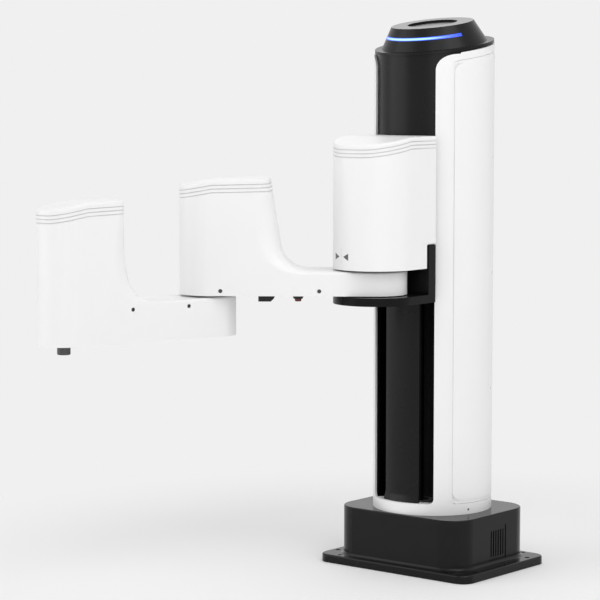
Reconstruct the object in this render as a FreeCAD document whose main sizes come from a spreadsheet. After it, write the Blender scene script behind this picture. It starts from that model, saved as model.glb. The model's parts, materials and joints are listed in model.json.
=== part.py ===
"""Four-axis SCARA robot on a column, in millimetres.

The origin is the middle of the base's bolt pattern on the surface that it stands on.
+Z is up and +X is forward, the way that the column's window faces.
The arms are modelled as they stand at rest, each in its own frame along its length.
"""
import FreeCAD, Part
import math
import os
import Sketcher
from FreeCAD import Placement, Rotation, Vector

doc = FreeCAD.newDocument("ScaraRobot")
sheet = doc.addObject("Spreadsheet::Sheet", "Sizes")
Z_AXIS = Vector(0, 0, 1)

# Driving dimensions, each named once

BASE_SIZES = [
    ("flange_x", 175, "base flange, front to back"),
    ("flange_y", 230, "base flange, side to side"),
    ("flange_thick", 10, "base flange thickness"),
    ("flange_corner", 17, "base flange corner radius"),
    ("flange_edge", 2, "rounding of the flange's upper edge"),
    ("block_x", 156, "base block, front to back"),
    ("block_y", 192, "base block, side to side"),
    ("block_top", 72, "height of the base block"),
    ("block_corner", 33, "base block corner radius"),
    ("block_edge", 1.5, "rounding of the block's upper edge"),
    ("block_flare", 4, "hollow rounding where the block meets the flange"),
    ("base_wall", 8, "side walls of the base casting"),
    ("base_roof", 13, "roof of the base casting"),
    ("bolt_span_x", 112, "bolt holes in the long ledges, front to back"),
    ("bolt_span_y", 212, "bolt holes in the long ledges, side to side"),
    ("bolt_hole", 6.6, "bolt hole diameter"),
    ("edge_span_x", 159, "fixing holes by the corners, front to back"),
    ("edge_span_y", 168, "fixing holes by the corners, side to side"),
    ("edge_hole", 5.5, "fixing hole diameter"),
    ("cover_thick", 3, "bottom cover thickness"),
    ("cover_recess", 1, "bottom cover above the floor"),
    ("boss_radius", 6, "bosses for the bottom cover screws"),
    ("boss_inset", 11, "bosses from the cavity walls"),
    ("cover_screw", 1.5, "bottom cover screw radius"),
    ("panel_half", 60, "interface panel half width"),
    ("panel_low", 16, "interface panel lower edge"),
    ("panel_high", 64, "interface panel upper edge"),
    ("panel_thick", 1.5, "interface panel thickness"),
    ("panel_lap", 2, "interface panel lap on the casting"),
    ("port_height", 40, "height of the middle of the ports"),
    ("inlet_at", 43, "power inlet from the middle"),
    ("inlet_width", 27.4, "power inlet width"),
    ("inlet_height", 20, "power inlet height"),
    ("inlet_depth", 22, "power inlet depth"),
    ("blade_long", 4, "power inlet blade height"),
    ("blade_thick", 2, "power inlet blade thickness"),
    ("blade_pitch", 7, "power inlet blades apart"),
    ("blade_sunk", 3, "power inlet blades below the casting's face"),
    ("switch_at", 16, "power switch from the middle"),
    ("switch_width", 13, "power switch opening width"),
    ("switch_height", 19.2, "power switch opening height"),
    ("switch_rim", 2, "power switch bezel rim"),
    ("switch_tilt", 8, "power switch tilt each way"),
    ("switch_pin", 1, "power switch pivot radius"),
    ("net_at", -5, "first network socket from the middle"),
    ("net_pitch", 19, "network sockets apart"),
    ("net_width", 16, "network socket width"),
    ("net_height", 13.6, "network socket height"),
    ("io_at", -47, "signal socket from the middle"),
    ("io_width", 21, "signal socket width"),
    ("io_height", 10, "signal socket height"),
    ("io_pitch", 17, "signal sockets apart"),
    ("socket_depth", 18, "depth of network and signal sockets"),
    ("grille_at", -6, "side grille middle, along X"),
    ("grille_width", 36, "side grille width"),
    ("grille_low", 14, "side grille lower edge"),
    ("grille_high", 56, "side grille upper edge"),
    ("grille_thick", 2.5, "side grille thickness"),
    ("grille_sunk", 0.8, "side grille below the wall's face"),
    ("louvre_pitch", 5, "side grille slots apart"),
    ("louvre_slot", 2.4, "side grille slot width"),
    ("supply_x", 104, "power supply length"),
    ("supply_y", 56, "power supply width"),
    ("supply_z", 38, "power supply height"),
    ("supply_side", 22, "power supply from the middle"),
    ("board_lift", 8, "control board above the cover"),
    ("board_thick", 1.6, "control board thickness"),
    ("post_inset", 5, "board posts from the board's edges"),
    ("pulley_room", 1, "casting clearance round the pulleys"),
]
COLUMN_SIZES = [
    ("shell_radius", 74, "column shell outer radius"),
    ("shell_wall", 3, "column shell wall"),
    ("shell_gap", 0.3, "shell clearance over the column tube"),
    ("window_turn", 37.65, "column window edge from straight ahead, in degrees"),
    ("window_half", "=shell_radius * sin(window_turn * 1deg)", "column window half width"),
    ("window_sill", 86, "column window lower edge"),
    ("window_corner", 6, "column window lower corner radius"),
    ("window_flare", 20, "column window upper corner radius"),
    ("flare_drop", 18, "start of the window's flare below the rim plane"),
    ("rim_height", 643.3, "rim plane height on the column axis"),
    ("cap_tilt", 9, "cap tilt forward"),
    ("cover_turn", 51.96, "rear cover front edge from straight ahead, in degrees"),
    ("cover_front", "=shell_radius * cos(cover_turn * 1deg)", "rear cover front edge, along X"),
    ("cover_foot", 85.5, "rear cover lower edge"),
    ("cover_drop", 11, "rear cover upper edge below the rim plane"),
    ("cover_corner", 10, "rear cover corner radius"),
    ("cover_border", 4.5, "rear cover sunk border width"),
    ("border_depth", 0.7, "rear cover border depth"),
    ("cover_gap", 0.4, "rear cover clearance in the shell"),
    ("tube_wall", 4, "column tube wall"),
    ("mouth_lip", 0.6, "column tube lip in the window"),
    ("tube_mouth", "=window_half - mouth_lip", "column tube front opening half width"),
    ("tube_drop", 83.3, "column tube upper end below the rim plane"),
    ("tube_top", "=rim_height - tube_drop", "column tube upper end"),
    ("web_back", 2, "column web rear face"),
    ("web_thick", 8, "column web thickness"),
    ("rail_seat", "=slide_front - slide_thick - block_deep", "rail seats, along X"),
    ("rail_inset", 12.2, "rails inside the window's edge"),
    ("rail_at", "=window_half - rail_inset", "rails each side of the middle"),
    ("rib_inside", 9, "rail rib's inner face from its rail's middle"),
    ("rib_inner", "=rail_at - rib_inside", "rail rib inner face"),
    ("rib_outside", 11, "rail rib's outer face from its rail's middle"),
    ("rib_outer", "=rail_at + rib_outside", "rail rib outer face"),
    ("rail_width", 12, "rail width"),
    ("rail_depth", 8, "rail depth"),
    ("rail_low", 90, "rails lower end"),
    ("rail_end", 4, "rails' upper end below the upper bearing block"),
    ("rail_high", "=upper_block - rail_end", "rails upper end"),
    ("strip_sunk", 7, "front strip below the shell surface"),
    ("strip_radius", "=shell_radius - strip_sunk", "front strip outer radius"),
    ("strip_thick", 3, "front strip thickness"),
    ("strip_half", 22.3, "front strip half angle"),
    ("strip_foot", 11, "height of the front strip's flared foot"),
    ("strip_drop", 26, "front strip upper end below the tube top"),
    ("strip_top", "=tube_top - strip_drop", "front strip upper end"),
    ("sill_half", 36.8, "window sill half angle"),
    ("apron_low", "=strip_top", "upper housing apron lower edge"),
    ("rim_inset", 0.8, "cap rim inside the shell surface"),
    ("rim_radius", "=shell_radius - rim_inset", "cap rim outer radius"),
    ("rim_thick", 3, "cap rim thickness"),
    ("rim_ledge", 8.2, "cap rim ledge round the cone"),
    ("cone_foot", "=rim_radius - rim_ledge", "cap cone foot radius"),
    ("cone_lean", 13.8, "cap cone foot outside its top"),
    ("cone_top", "=cone_foot - cone_lean", "cap cone top radius"),
    ("cone_rise", 29, "cap cone height on its axis"),
    ("cone_wall", 3, "cap wall"),
    ("crown_width", 20.5, "cap top ring width"),
    ("dish_radius", "=cone_top - crown_width", "dish radius in the cap"),
    ("dish_depth", 3.5, "dish depth"),
    ("light_rise", 17.2, "light strip height above the rim plane"),
    ("light_high", 3.6, "light strip width"),
    ("light_deep", 1.2, "light strip depth in the cone"),
    ("light_half", 73, "light strip half angle"),
    ("shell_screw", 1.6, "shell screw head radius"),
    ("shell_screw_turn", 112, "rear cover screws from the front, in degrees"),
    ("shell_screw_low", 223, "lowest rear cover screw"),
    ("shell_screw_pitch", 143, "rear cover screws apart"),
    ("foot_screw_turn", 73.5, "first foot screw from the front, in degrees"),
    ("foot_screw_step", 36, "foot screws apart, in degrees"),
    ("foot_screw_high", 77.5, "foot screw height"),
]
DRIVE_SIZES = [
    ("screw_at", 28, "ball screw axis, along X"),
    ("screw_radius", 6, "ball screw radius"),
    ("screw_low", 38, "ball screw lower end"),
    ("screw_tail", 8, "ball screw above its upper bearing block"),
    ("screw_high", "=upper_block + block_height + screw_tail", "ball screw upper end"),
    ("bearing_radius", 14, "ball screw bearing outer radius"),
    ("block_half", 19, "bearing block half width"),
    ("block_height", 12, "bearing block height"),
    ("block_hold", 8, "upper bearing block hold on the column web"),
    ("upper_block", "=tube_top - block_hold", "upper bearing block underside"),
    ("motor_at", -31, "lift motor axis, along X"),
    ("motor_side", 52, "lift motor side"),
    ("motor_high", 84, "lift motor height"),
    ("motor_shaft", 4, "lift motor shaft radius"),
    ("pulley_radius", 11.5, "pulley radius"),
    ("pulley_flange", 14, "pulley flange radius"),
    ("pulley_low", 41, "pulley lower face"),
    ("pulley_high", 56, "pulley upper face"),
    ("flange_plate", 1.5, "pulley flange thickness"),
    ("belt_width", 10, "timing belt width"),
    ("belt_thick", 1.5, "timing belt thickness"),
    ("driver_x", 20, "servo driver thickness"),
    ("driver_y", 70, "servo driver width"),
    ("driver_z", 95, "servo driver height"),
    ("driver_low", 170, "lowest servo driver"),
    ("driver_pitch", 110, "servo drivers apart"),
    ("run_fit", 0.05, "radial clearance of a running fit"),
    ("free_gap", 0.3, "clearance between bodies that don't bear"),
]
CARRIAGE_SIZES = [
    ("shoulder_out", 36, "shoulder axis from the back wall"),
    ("shoulder_at", "=wall_front + shoulder_out", "shoulder axis, along X"),
    ("disc_low", 335.5, "carriage lower plate, underside"),
    ("disc_thick", 10, "carriage lower plate thickness"),
    ("disc_radius", 52, "carriage lower plate and casing radius"),
    ("wall_sunk", 1, "carriage back wall inside the front strip surface"),
    ("wall_back", "=strip_radius - wall_sunk", "carriage back wall, rear face"),
    ("wall_thick", 14, "carriage back wall thickness"),
    ("wall_front", "=wall_back + wall_thick", "carriage back wall, front face"),
    ("strip_clear", 2.5, "carriage clearance over the front strip"),
    ("wall_relief", "=strip_radius + strip_clear", "back wall hollow about the column"),
    ("root_gap", 5.5, "carriage clearance round the rear arm root"),
    ("arm_clear", 1, "rear arm clearance over the lower plate"),
    ("root_clear", 2.5, "upper plate clearance over the rear arm"),
    ("upper_low", "=arm_top + root_clear", "carriage upper plate, underside"),
    ("upper_thick", 11, "carriage upper plate thickness"),
    ("tongue_gap", 1.6, "carriage tongue clearance beside the front strip"),
    ("tongue_inner", "=strip_radius * sin(strip_half * 1deg) + tongue_gap", "carriage tongue inner face"),
    ("tongue_room", 4.2, "carriage tongue clearance in the window"),
    ("tongue_outer", "=window_half - tongue_room", "carriage tongue outer face"),
    ("tongue_lap", 4, "carriage tongue lap in the back wall"),
    ("tongue_low", 350, "carriage tongue lower end"),
    ("tongue_high", 480, "carriage tongue upper end"),
    ("slide_sunk", 13, "slide plate inside the front strip surface"),
    ("slide_front", "=strip_radius - slide_sunk", "slide plate front face"),
    ("slide_thick", 10, "slide plate thickness"),
    ("slide_lap", 1, "slide plate beyond the tongues"),
    ("slide_half", "=tongue_outer + slide_lap", "slide plate half width"),
    ("block_wide", 27, "rail block width"),
    ("block_deep", 13, "rail block depth over the seat"),
    ("block_long", 45, "rail block length"),
    ("block_lift", 2, "rail block over the rail seat"),
    ("nut_radius", 11, "ball nut radius"),
    ("nut_flange", 17, "ball nut flange radius"),
    ("nut_long", 42, "ball nut length"),
    ("nut_low", 392, "ball nut underside"),
    ("nut_trim", 1.5, "ball nut flange inside its housing"),
    ("nut_flat", 2, "nut housing flat behind the nut"),
    ("casing_drop", 0.5, "carriage casing below the upper plate"),
    ("casing_low", "=upper_low - casing_drop", "carriage casing lower edge"),
    ("casing_back", 536, "carriage casing top at the back"),
    ("casing_step", 9.5, "carriage casing top at the front, below the back"),
    ("casing_front", "=casing_back - casing_step", "carriage casing top at the front"),
    ("casing_groove", 5, "first groove below the carriage casing top"),
    ("casing_wall", 3, "carriage casing wall"),
    ("notch_gap", 1.5, "casing notch clearance from the back wall"),
    ("notch_front", "=wall_front + notch_gap", "casing notch front edge"),
    ("notch_high", 405.5, "casing notch upper edge"),
]
ARM_SIZES = [
    ("shoulder_turn", -52.5, "rear arm from straight ahead at rest"),
    ("elbow_turn", 35.5, "forearm from the rear arm at rest"),
    ("arm_reach", 200, "shoulder to elbow"),
    ("fore_reach", 200, "elbow to tool axis"),
    ("arm_radius", 37.5, "rear arm half width"),
    ("arm_low", "=disc_low + disc_thick + arm_clear", "rear arm underside"),
    ("arm_thick", 29, "rear arm height by the shoulder"),
    ("arm_top", "=arm_low + arm_thick", "rear arm top by the shoulder"),
    ("arm_tower_front", 478, "rear arm tower top at the front"),
    ("arm_tower_back", 485, "rear arm tower top at the back"),
    ("arm_back_top", 72, "rear arm tower back from the elbow, at the top"),
    ("arm_back_foot", 90, "rear arm tower back from the elbow, at the foot"),
    ("arm_sweep", 34, "rear arm shoulder curve radius"),
    ("fore_radius", 31, "forearm half width"),
    ("elbow_clear", 2.5, "forearm clearance under the rear arm"),
    ("fore_top", "=arm_low - elbow_clear", "forearm top by the elbow"),
    ("fore_thick", 47.5, "forearm height by the elbow"),
    ("fore_low", "=fore_top - fore_thick", "forearm underside"),
    ("fore_tower_front", 455, "forearm tower top at the front"),
    ("fore_tower_back", 462.5, "forearm tower top at the back"),
    ("fore_back_top", 69, "forearm tower back from the tool axis, at the top"),
    ("fore_back_foot", 82, "forearm tower back from the tool axis, at the foot"),
    ("fore_sweep", 30, "forearm shoulder curve radius"),
    ("case_wall", 2.5, "arm casing wall"),
    ("carriage_ramp_back", -1, "upper end of the carriage casing's ramp, from the shoulder"),
    ("carriage_ramp_front", 47, "lower end of the carriage casing's ramp, from the shoulder"),
    ("arm_ramp_back", -4, "upper end of the rear arm's ramp, from the elbow"),
    ("arm_ramp_front", 34, "lower end of the rear arm's ramp, from the elbow"),
    ("fore_ramp_back", -17, "upper end of the forearm's ramp, from the tool axis"),
    ("fore_ramp_front", 26, "lower end of the forearm's ramp, from the tool axis"),
    ("ramp_soft", 40, "rounding at the lower end of a ramp"),
    ("ramp_crisp", 14, "rounding at the upper end of a ramp"),
    ("case_edge", 3, "rounding of the casing edges"),
    ("top_rise", 1.7, "rise of a tower top toward its back corner"),
    ("corner_top", 12, "rounding of a tower back corner at its top"),
    ("corner_foot", 23, "rounding of a tower back corner at its foot"),
    ("shaft_room", 2, "casing clearance round a shaft"),
    ("fit_gap", 0.2, "frame clearance in the casings"),
    ("groove_first", 6, "first groove below the top"),
    ("groove_pitch", 4.4, "grooves apart"),
    ("groove_wide", 1.2, "groove width"),
    ("groove_deep", 0.8, "groove depth"),
    ("frame_thick", 10, "arm frame thickness"),
    ("frame_floor", 4, "arm frame floor"),
    ("frame_rim", 7, "arm frame rim width"),
    ("casing_screw", 2.5, "casing screw head radius"),
    ("casing_screw_long", 8, "casing screw length"),
    ("arm_screw_first", 67.5, "first rear arm screw from the shoulder"),
    ("arm_screw_second", 185.5, "second rear arm screw from the shoulder"),
    ("arm_screw_high", 352.5, "rear arm screw height"),
    ("fore_screw_first", 48.5, "first forearm screw from the elbow"),
    ("fore_screw_second", 124.5, "second forearm screw from the elbow"),
    ("fore_screw_high", 336, "forearm screw height"),
    ("pivot_radius", 24, "shoulder shaft flange radius"),
    ("journal_low", 12, "lower journal bore radius"),
    ("journal_high", 18, "upper journal bore radius"),
    ("race_low", 19, "lower bearing outer radius"),
    ("race_high", 30, "upper bearing outer radius"),
    ("race_thick", 7, "lower bearing width"),
    ("bearing_lip", 1, "lip below the upper bearing"),
    ("race_ledge", 3, "ledge under the upper bearing"),
    ("reducer_radius", 40, "shoulder reducer radius"),
    ("reducer_high", 22, "shoulder reducer height"),
    ("shoulder_motor_side", 60, "shoulder motor side"),
    ("shoulder_motor_high", 68, "shoulder motor height"),
    ("elbow_hub", 24, "elbow bearing hub radius"),
    ("elbow_reducer", 31, "elbow reducer radius"),
    ("elbow_reducer_high", 20, "elbow reducer height"),
    ("elbow_motor_side", 42, "elbow motor side"),
    ("elbow_motor_high", 70, "elbow motor height"),
    ("plug_at", 132, "underside socket from the shoulder"),
    ("plug_long", 19, "underside socket length"),
    ("plug_wide", 22, "underside socket width"),
    ("plug_drop", 9, "underside socket height"),
    ("plug_bevel", 4, "underside socket bevel"),
    ("button_at", 94, "push button from the shoulder"),
    ("bezel_radius", 8.6, "button bezel radius at the arm"),
    ("bezel_tip", 5.4, "button bezel radius at its tip"),
    ("bezel_drop", 6.5, "button bezel height"),
    ("button_radius", 4, "push button radius"),
    ("button_drop", 9.5, "push button tip below the arm"),
    ("button_tip", "=arm_low - button_drop", "push button lowest point"),
    ("button_travel", 1.8, "push button travel"),
    ("button_collar", 1.4, "push button collar width and height"),
    ("tool_radius", 7.9, "tool shaft end radius"),
    ("tool_journal", 7.2, "tool shaft radius in its bearings"),
    ("tool_drop", 11.5, "tool shaft end below the forearm"),
    ("tool_tip", "=fore_low - tool_drop", "tool shaft lower end"),
    ("tool_bore", 2.5, "threaded hole radius in the tool shaft"),
    ("tool_bore_deep", 14, "threaded hole depth in the tool shaft"),
    ("tool_race", 14, "tool bearing outer radius"),
    ("tool_race_thick", 8, "tool bearing width"),
    ("tool_hub", 20, "tool bearing hub radius"),
    ("tool_motor_side", 35, "tool motor side"),
    ("tool_motor_high", 78, "tool motor height"),
    ("fore_cover_thick", 3, "forearm bottom cover thickness"),
]


class Size:
    """A size with the expression that the document recomputes and its present value."""

    def __init__(self, text, value):
        self.text = text
        self.value = value

    def __add__(self, other):
        other = as_size(other)
        return Size("(%s + %s)" % (self.text, other.text), self.value + other.value)

    def __sub__(self, other):
        other = as_size(other)
        return Size("(%s - %s)" % (self.text, other.text), self.value - other.value)

    def __mul__(self, factor):
        factor = as_size(factor)
        return Size("(%s * %s)" % (self.text, factor.text), self.value * factor.value)

    def __truediv__(self, factor):
        factor = as_size(factor)
        return Size("(%s / %s)" % (self.text, factor.text), self.value / factor.value)

    def __neg__(self):
        return Size("(0 - %s)" % self.text, -self.value)


def as_size(thing):
    if isinstance(thing, Size):
        return thing
    return Size("%s" % thing, float(thing))


class Named:
    """The sheet's sizes by name."""


S = Named()
row = 1
ALL_SIZES = BASE_SIZES + COLUMN_SIZES + DRIVE_SIZES + CARRIAGE_SIZES + ARM_SIZES
for alias, number, meaning in ALL_SIZES:
    sheet.set("A%d" % row, meaning)
    sheet.set("B%d" % row, "0")
    sheet.setAlias("B%d" % row, alias)
    row += 1
for alias, number, meaning in ALL_SIZES:
    sheet.set(sheet.getCellFromAlias(alias), str(number))
doc.recompute()
for alias, number, meaning in ALL_SIZES:
    setattr(S, alias, Size("Sizes.%s" % alias, float(sheet.get(alias))))

ZERO = Size("0", 0.0)


def sine(angle):
    return Size("sin(%s * 1deg)" % angle.text, math.sin(math.radians(angle.value)))


def cosine(angle):
    return Size("cos(%s * 1deg)" % angle.text, math.cos(math.radians(angle.value)))


def tangent(angle):
    return Size("tan(%s * 1deg)" % angle.text, math.tan(math.radians(angle.value)))


def bind(thing, prop, size):
    size = as_size(size)
    thing.setExpression(prop, size.text)


def move_to(thing, x=ZERO, y=ZERO, z=ZERO):
    for letter, size in (("x", x), ("y", y), ("z", z)):
        bind(thing, "Placement.Base.%s" % letter, size)


# Primitives and booleans whose sizes follow the sheet

def box(x, y, z):
    """A box between pairs of sizes."""
    thing = doc.addObject("Part::Box", "Box")
    bind(thing, "Length", as_size(x[1]) - x[0])
    bind(thing, "Width", as_size(y[1]) - y[0])
    bind(thing, "Height", as_size(z[1]) - z[0])
    move_to(thing, as_size(x[0]), as_size(y[0]), as_size(z[0]))
    return thing


def cylinder(radius, z, x=ZERO, y=ZERO):
    """An upright cylinder between two heights."""
    thing = doc.addObject("Part::Cylinder", "Cylinder")
    bind(thing, "Radius", radius)
    bind(thing, "Height", as_size(z[1]) - z[0])
    move_to(thing, as_size(x), as_size(y), as_size(z[0]))
    return thing


def pin(radius, length, x, y, z, turn):
    """A cylinder that lies level and points away from x, y, z at an angle from +X."""
    thing = doc.addObject("Part::Cylinder", "Pin")
    level = Rotation(Vector(0, 1, 0), 90)
    thing.Placement = Placement(Vector(0, 0, 0), Rotation(Z_AXIS, turn) * level)
    bind(thing, "Radius", radius)
    bind(thing, "Height", length)
    move_to(thing, as_size(x), as_size(y), as_size(z))
    return thing


def fuse(*things):
    if len(things) == 1:
        return things[0]
    thing = doc.addObject("Part::MultiFuse", "Fuse")
    thing.Shapes = list(things)
    return thing


def group(*things):
    """Separate solids in one node."""
    thing = doc.addObject("Part::Compound", "Group")
    thing.Links = list(things)
    return thing


def cut(solid, *tools):
    thing = doc.addObject("Part::Cut", "Cut")
    thing.Base = solid
    thing.Tool = fuse(*tools)
    return thing


def common(first, second):
    thing = doc.addObject("Part::MultiCommon", "Common")
    thing.Shapes = [first, second]
    return thing


# Bodies made from sketches

def plane_of(body, role):
    for thing in body.Origin.OriginFeatures:
        if thing.Role == role:
            return thing
    raise RuntimeError("no plane " + role)


def new_body(name):
    return doc.addObject("PartDesign::Body", name)


def sketch_on(body, role, height=None):
    sketch = body.newObject("Sketcher::SketchObject", "Sketch")
    sketch.AttachmentSupport = [(plane_of(body, role), "")]
    sketch.MapMode = "FlatFace"
    if height is not None:
        sketch.setExpression("AttachmentOffset.Base.z", as_size(height).text)
    return sketch


def place_point(sketch, line, end, at, axis_word, axis_line):
    """Hold one coordinate of a point at a size from the sketch's origin."""
    if at.text == "0":
        sketch.addConstraint(Sketcher.Constraint("PointOnObject", line, end, axis_line))
        return
    rule = Sketcher.Constraint(axis_word, -1, 1, line, end, at.value)
    index = sketch.addConstraint(rule)
    sketch.setExpression("Constraints[%d]" % index, at.text)


def draw_polygon(sketch, corners):
    """A closed outline whose corners are pairs of sizes."""
    corners = [(as_size(a), as_size(b)) for a, b in corners]
    spots = [Vector(a.value, b.value, 0) for a, b in corners]
    count = len(corners)
    for i in range(count):
        sketch.addGeometry(Part.LineSegment(spots[i], spots[(i + 1) % count]), False)
    for i in range(count):
        sketch.addConstraint(Sketcher.Constraint("Coincident", i, 2, (i + 1) % count, 1))
    for i in range(count):
        place_point(sketch, i, 1, corners[i][0], "DistanceX", -2)
        place_point(sketch, i, 1, corners[i][1], "DistanceY", -1)


def pad(body, sketch, length):
    feature = body.newObject("PartDesign::Pad", "Pad")
    feature.Profile = sketch
    bind(feature, "Length", length)
    return feature


def edges_where(shape, test):
    """Names of the edges that pass a test."""
    return ["Edge%d" % (i + 1) for i, edge in enumerate(shape.Edges) if test(edge)]


def is_upright(edge):
    ends = edge.Vertexes
    if len(ends) != 2 or edge.Curve.TypeId != "Part::GeomLine":
        return False
    run = ends[1].Point - ends[0].Point
    return abs(run.x) < 1e-6 and abs(run.y) < 1e-6


def at_height(height):
    def test(edge):
        span = edge.BoundBox
        return abs(span.ZMin - height) < 1e-4 and abs(span.ZMax - height) < 1e-4
    return test


def fillet(body, base, test, radius):
    doc.recompute()
    feature = body.newObject("PartDesign::Fillet", "Fillet")
    feature.Base = (base, edges_where(base.Shape, test))
    bind(feature, "Radius", radius)
    return feature


def rectangle(half_x, half_y):
    return [(-half_x, -half_y), (half_x, -half_y), (half_x, half_y), (-half_x, half_y)]


def rounded_block(name, half_x, half_y, corner, z, top_edge=None):
    """A block with rounded upright corners, and a rounded upper edge if one is given."""
    body = new_body(name)
    sketch = sketch_on(body, "XY_Plane", z[0])
    draw_polygon(sketch, rectangle(half_x, half_y))
    last = pad(body, sketch, as_size(z[1]) - z[0])
    last = fillet(body, last, is_upright, corner)
    if top_edge is not None:
        last = fillet(body, last, at_height(as_size(z[1]).value), top_edge)
    return body


def revolved(name, corners, angle=None):
    """A body of revolution about its own Z, from (radius, height) corners."""
    body = new_body(name)
    sketch = sketch_on(body, "XZ_Plane")
    draw_polygon(sketch, corners)
    feature = body.newObject("PartDesign::Revolution", "Revolution")
    feature.Profile = sketch
    feature.ReferenceAxis = (sketch, ["V_Axis"])
    if angle is None:
        feature.Angle = 360
    else:
        bind(feature, "Angle", angle)
        feature.Midplane = True
    return body


def ring(name, inner, outer, z):
    return revolved(name, [(inner, z[0]), (outer, z[0]), (outer, z[1]), (inner, z[1])])


def prism(name, role, corners, low, high):
    """A polygon on an origin plane, padded between two distances from it."""
    body = new_body(name)
    sketch = sketch_on(body, role, low)
    draw_polygon(sketch, corners)
    pad(body, sketch, as_size(high) - low)
    return body


# Where each piece goes

NODES = []


def keep(thing, label):
    """Name a finished piece."""
    thing.Label = label
    NODES.append(thing)
    return thing


def turn_with(thing, angle, x, y):
    thing.Placement = Placement(Vector(0, 0, 0), Rotation(Z_AXIS, angle.value))
    bind(thing, "Placement.Rotation.Angle", angle)
    move_to(thing, x, y)
    return thing


def on_carriage(thing, label):
    """A carriage piece drawn about the shoulder axis."""
    move_to(thing, S.shoulder_at)
    return keep(thing, label)


def on_rear_arm(thing, label):
    """A rear arm piece drawn from the shoulder along +X."""
    return keep(turn_with(thing, S.shoulder_turn, S.shoulder_at, ZERO), label)


FORE_TURN = S.shoulder_turn + S.elbow_turn
ELBOW_X = S.shoulder_at + S.arm_reach * cosine(S.shoulder_turn)
ELBOW_Y = S.arm_reach * sine(S.shoulder_turn)


def on_forearm(thing, label):
    """A forearm piece drawn from the elbow along +X."""
    return keep(turn_with(thing, FORE_TURN, ELBOW_X, ELBOW_Y), label)


# Base casting, its covers and its ports


def over_flange(edge):
    ends = edge.Vertexes
    return is_upright(edge) and max(end.Point.z for end in ends) > S.flange_thick.value + 1


def block_foot(edge):
    span = edge.BoundBox
    inside = abs(span.Center.x) < S.block_x.value / 2 + 1e-4 and abs(span.Center.y) < S.block_y.value / 2 + 1e-4
    return inside and at_height(S.flange_thick.value)(edge)


flange = new_body("Flange")
flange_sketch = sketch_on(flange, "XY_Plane")
draw_polygon(flange_sketch, rectangle(S.flange_x / 2, S.flange_y / 2))
flange_pad = pad(flange, flange_sketch, S.flange_thick)
flange_round = fillet(flange, flange_pad, is_upright, S.flange_corner)
flange_top = fillet(flange, flange_round, at_height(S.flange_thick.value), S.flange_edge)
block_sketch = sketch_on(flange, "XY_Plane")
draw_polygon(block_sketch, rectangle(S.block_x / 2, S.block_y / 2))
block_pad = pad(flange, block_sketch, S.block_top)
block_round = fillet(flange, block_pad, over_flange, S.block_corner)
block_rim = fillet(flange, block_round, at_height(S.block_top.value), S.block_edge)
fillet(flange, block_rim, block_foot, S.block_flare)
cavity_x = S.block_x / 2 - S.base_wall
cavity_y = S.block_y / 2 - S.base_wall
cavity_top = S.block_top - S.base_roof
cavity = rounded_block("Cavity", cavity_x, cavity_y, S.block_corner - S.base_wall,
                       (as_size(-1), cavity_top))
cover_top = S.cover_recess + S.cover_thick
boss_x = cavity_x - S.boss_inset
boss_y = cavity_y - S.boss_inset
BOSS_SPOTS = [(boss_x, boss_y), (-boss_x, boss_y), (-boss_x, -boss_y), (boss_x, -boss_y)]
bosses = [cylinder(S.boss_radius, (cover_top, cavity_top), x, y) for x, y in BOSS_SPOTS]
screw_depth = S.cover_thick * 4
cover_screws = [cylinder(S.cover_screw, (S.cover_recess, S.cover_recess + screw_depth), x, y)
                for x, y in BOSS_SPOTS]


def four_corners(span_x, span_y, radius, z):
    half_x, half_y = span_x / 2, span_y / 2
    return [cylinder(radius, z, a, b) for a in (half_x, -half_x) for b in (half_y, -half_y)]


through_flange = (as_size(-1), S.flange_thick + 1)
bolt_holes = four_corners(S.bolt_span_x, S.bolt_span_y, S.bolt_hole / 2, through_flange)
edge_holes = four_corners(S.edge_span_x, S.edge_span_y, S.edge_hole / 2, through_flange)
back_face = -S.block_x / 2
panel_hole = box((back_face - 1, back_face + S.base_wall + 1),
                 (-S.panel_half + S.panel_lap, S.panel_half - S.panel_lap),
                 (S.panel_low + S.panel_lap, S.panel_high - S.panel_lap))
grille_x = (S.grille_at - S.grille_width / 2, S.grille_at + S.grille_width / 2)
side_face = S.block_y / 2
grille_holes = [box(grille_x, (side_face - S.base_wall - 1, side_face + 1), (S.grille_low, S.grille_high)),
                box(grille_x, (-side_face - 1, -side_face + S.base_wall + 1), (S.grille_low, S.grille_high))]
roof = (cavity_top - 1, S.block_top + 1)
pilot = S.pulley_flange + S.pulley_room
roof_holes = [cylinder(pilot, roof, S.screw_at), cylinder(pilot, roof, S.motor_at)]
casting = cut(fuse(cut(flange, cavity), *bosses), panel_hole,
              *(bolt_holes + edge_holes + grille_holes + roof_holes + cover_screws))
keep(casting, "base_casting")

cover_plate = rounded_block("CoverPlate", cavity_x - S.free_gap, cavity_y - S.free_gap,
                            S.block_corner - S.base_wall - S.free_gap, (S.cover_recess, cover_top))
keep(cut(cover_plate, *cover_screws), "bottom_cover")
keep(group(*cover_screws), "bottom_cover_screws")

panel = box((back_face - S.panel_thick, back_face), (-S.panel_half, S.panel_half),
            (S.panel_low, S.panel_high))
port_x = (back_face - S.panel_thick * 2, back_face + S.socket_depth)


def port(at, width, height, x=port_x, grow=ZERO):
    """A box for a port that lies across the panel."""
    return box(x, (at - width / 2 - grow, at + width / 2 + grow),
               (S.port_height - height / 2 - grow, S.port_height + height / 2 + grow))


net_spots = [S.net_at, S.net_at - S.net_pitch]
io_spots = [S.io_at - S.io_pitch / 2 + S.io_height / 2, S.io_at + S.io_pitch / 2 - S.io_height / 2]
io_rows = [S.port_height - S.io_pitch / 2, S.port_height + S.io_pitch / 2]


def signal_box(row_height, x, grow=ZERO):
    return box(x, (S.io_at - S.io_width / 2 + grow, S.io_at + S.io_width / 2 - grow),
               (row_height - S.io_height / 2 + grow, row_height + S.io_height / 2 - grow))


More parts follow.
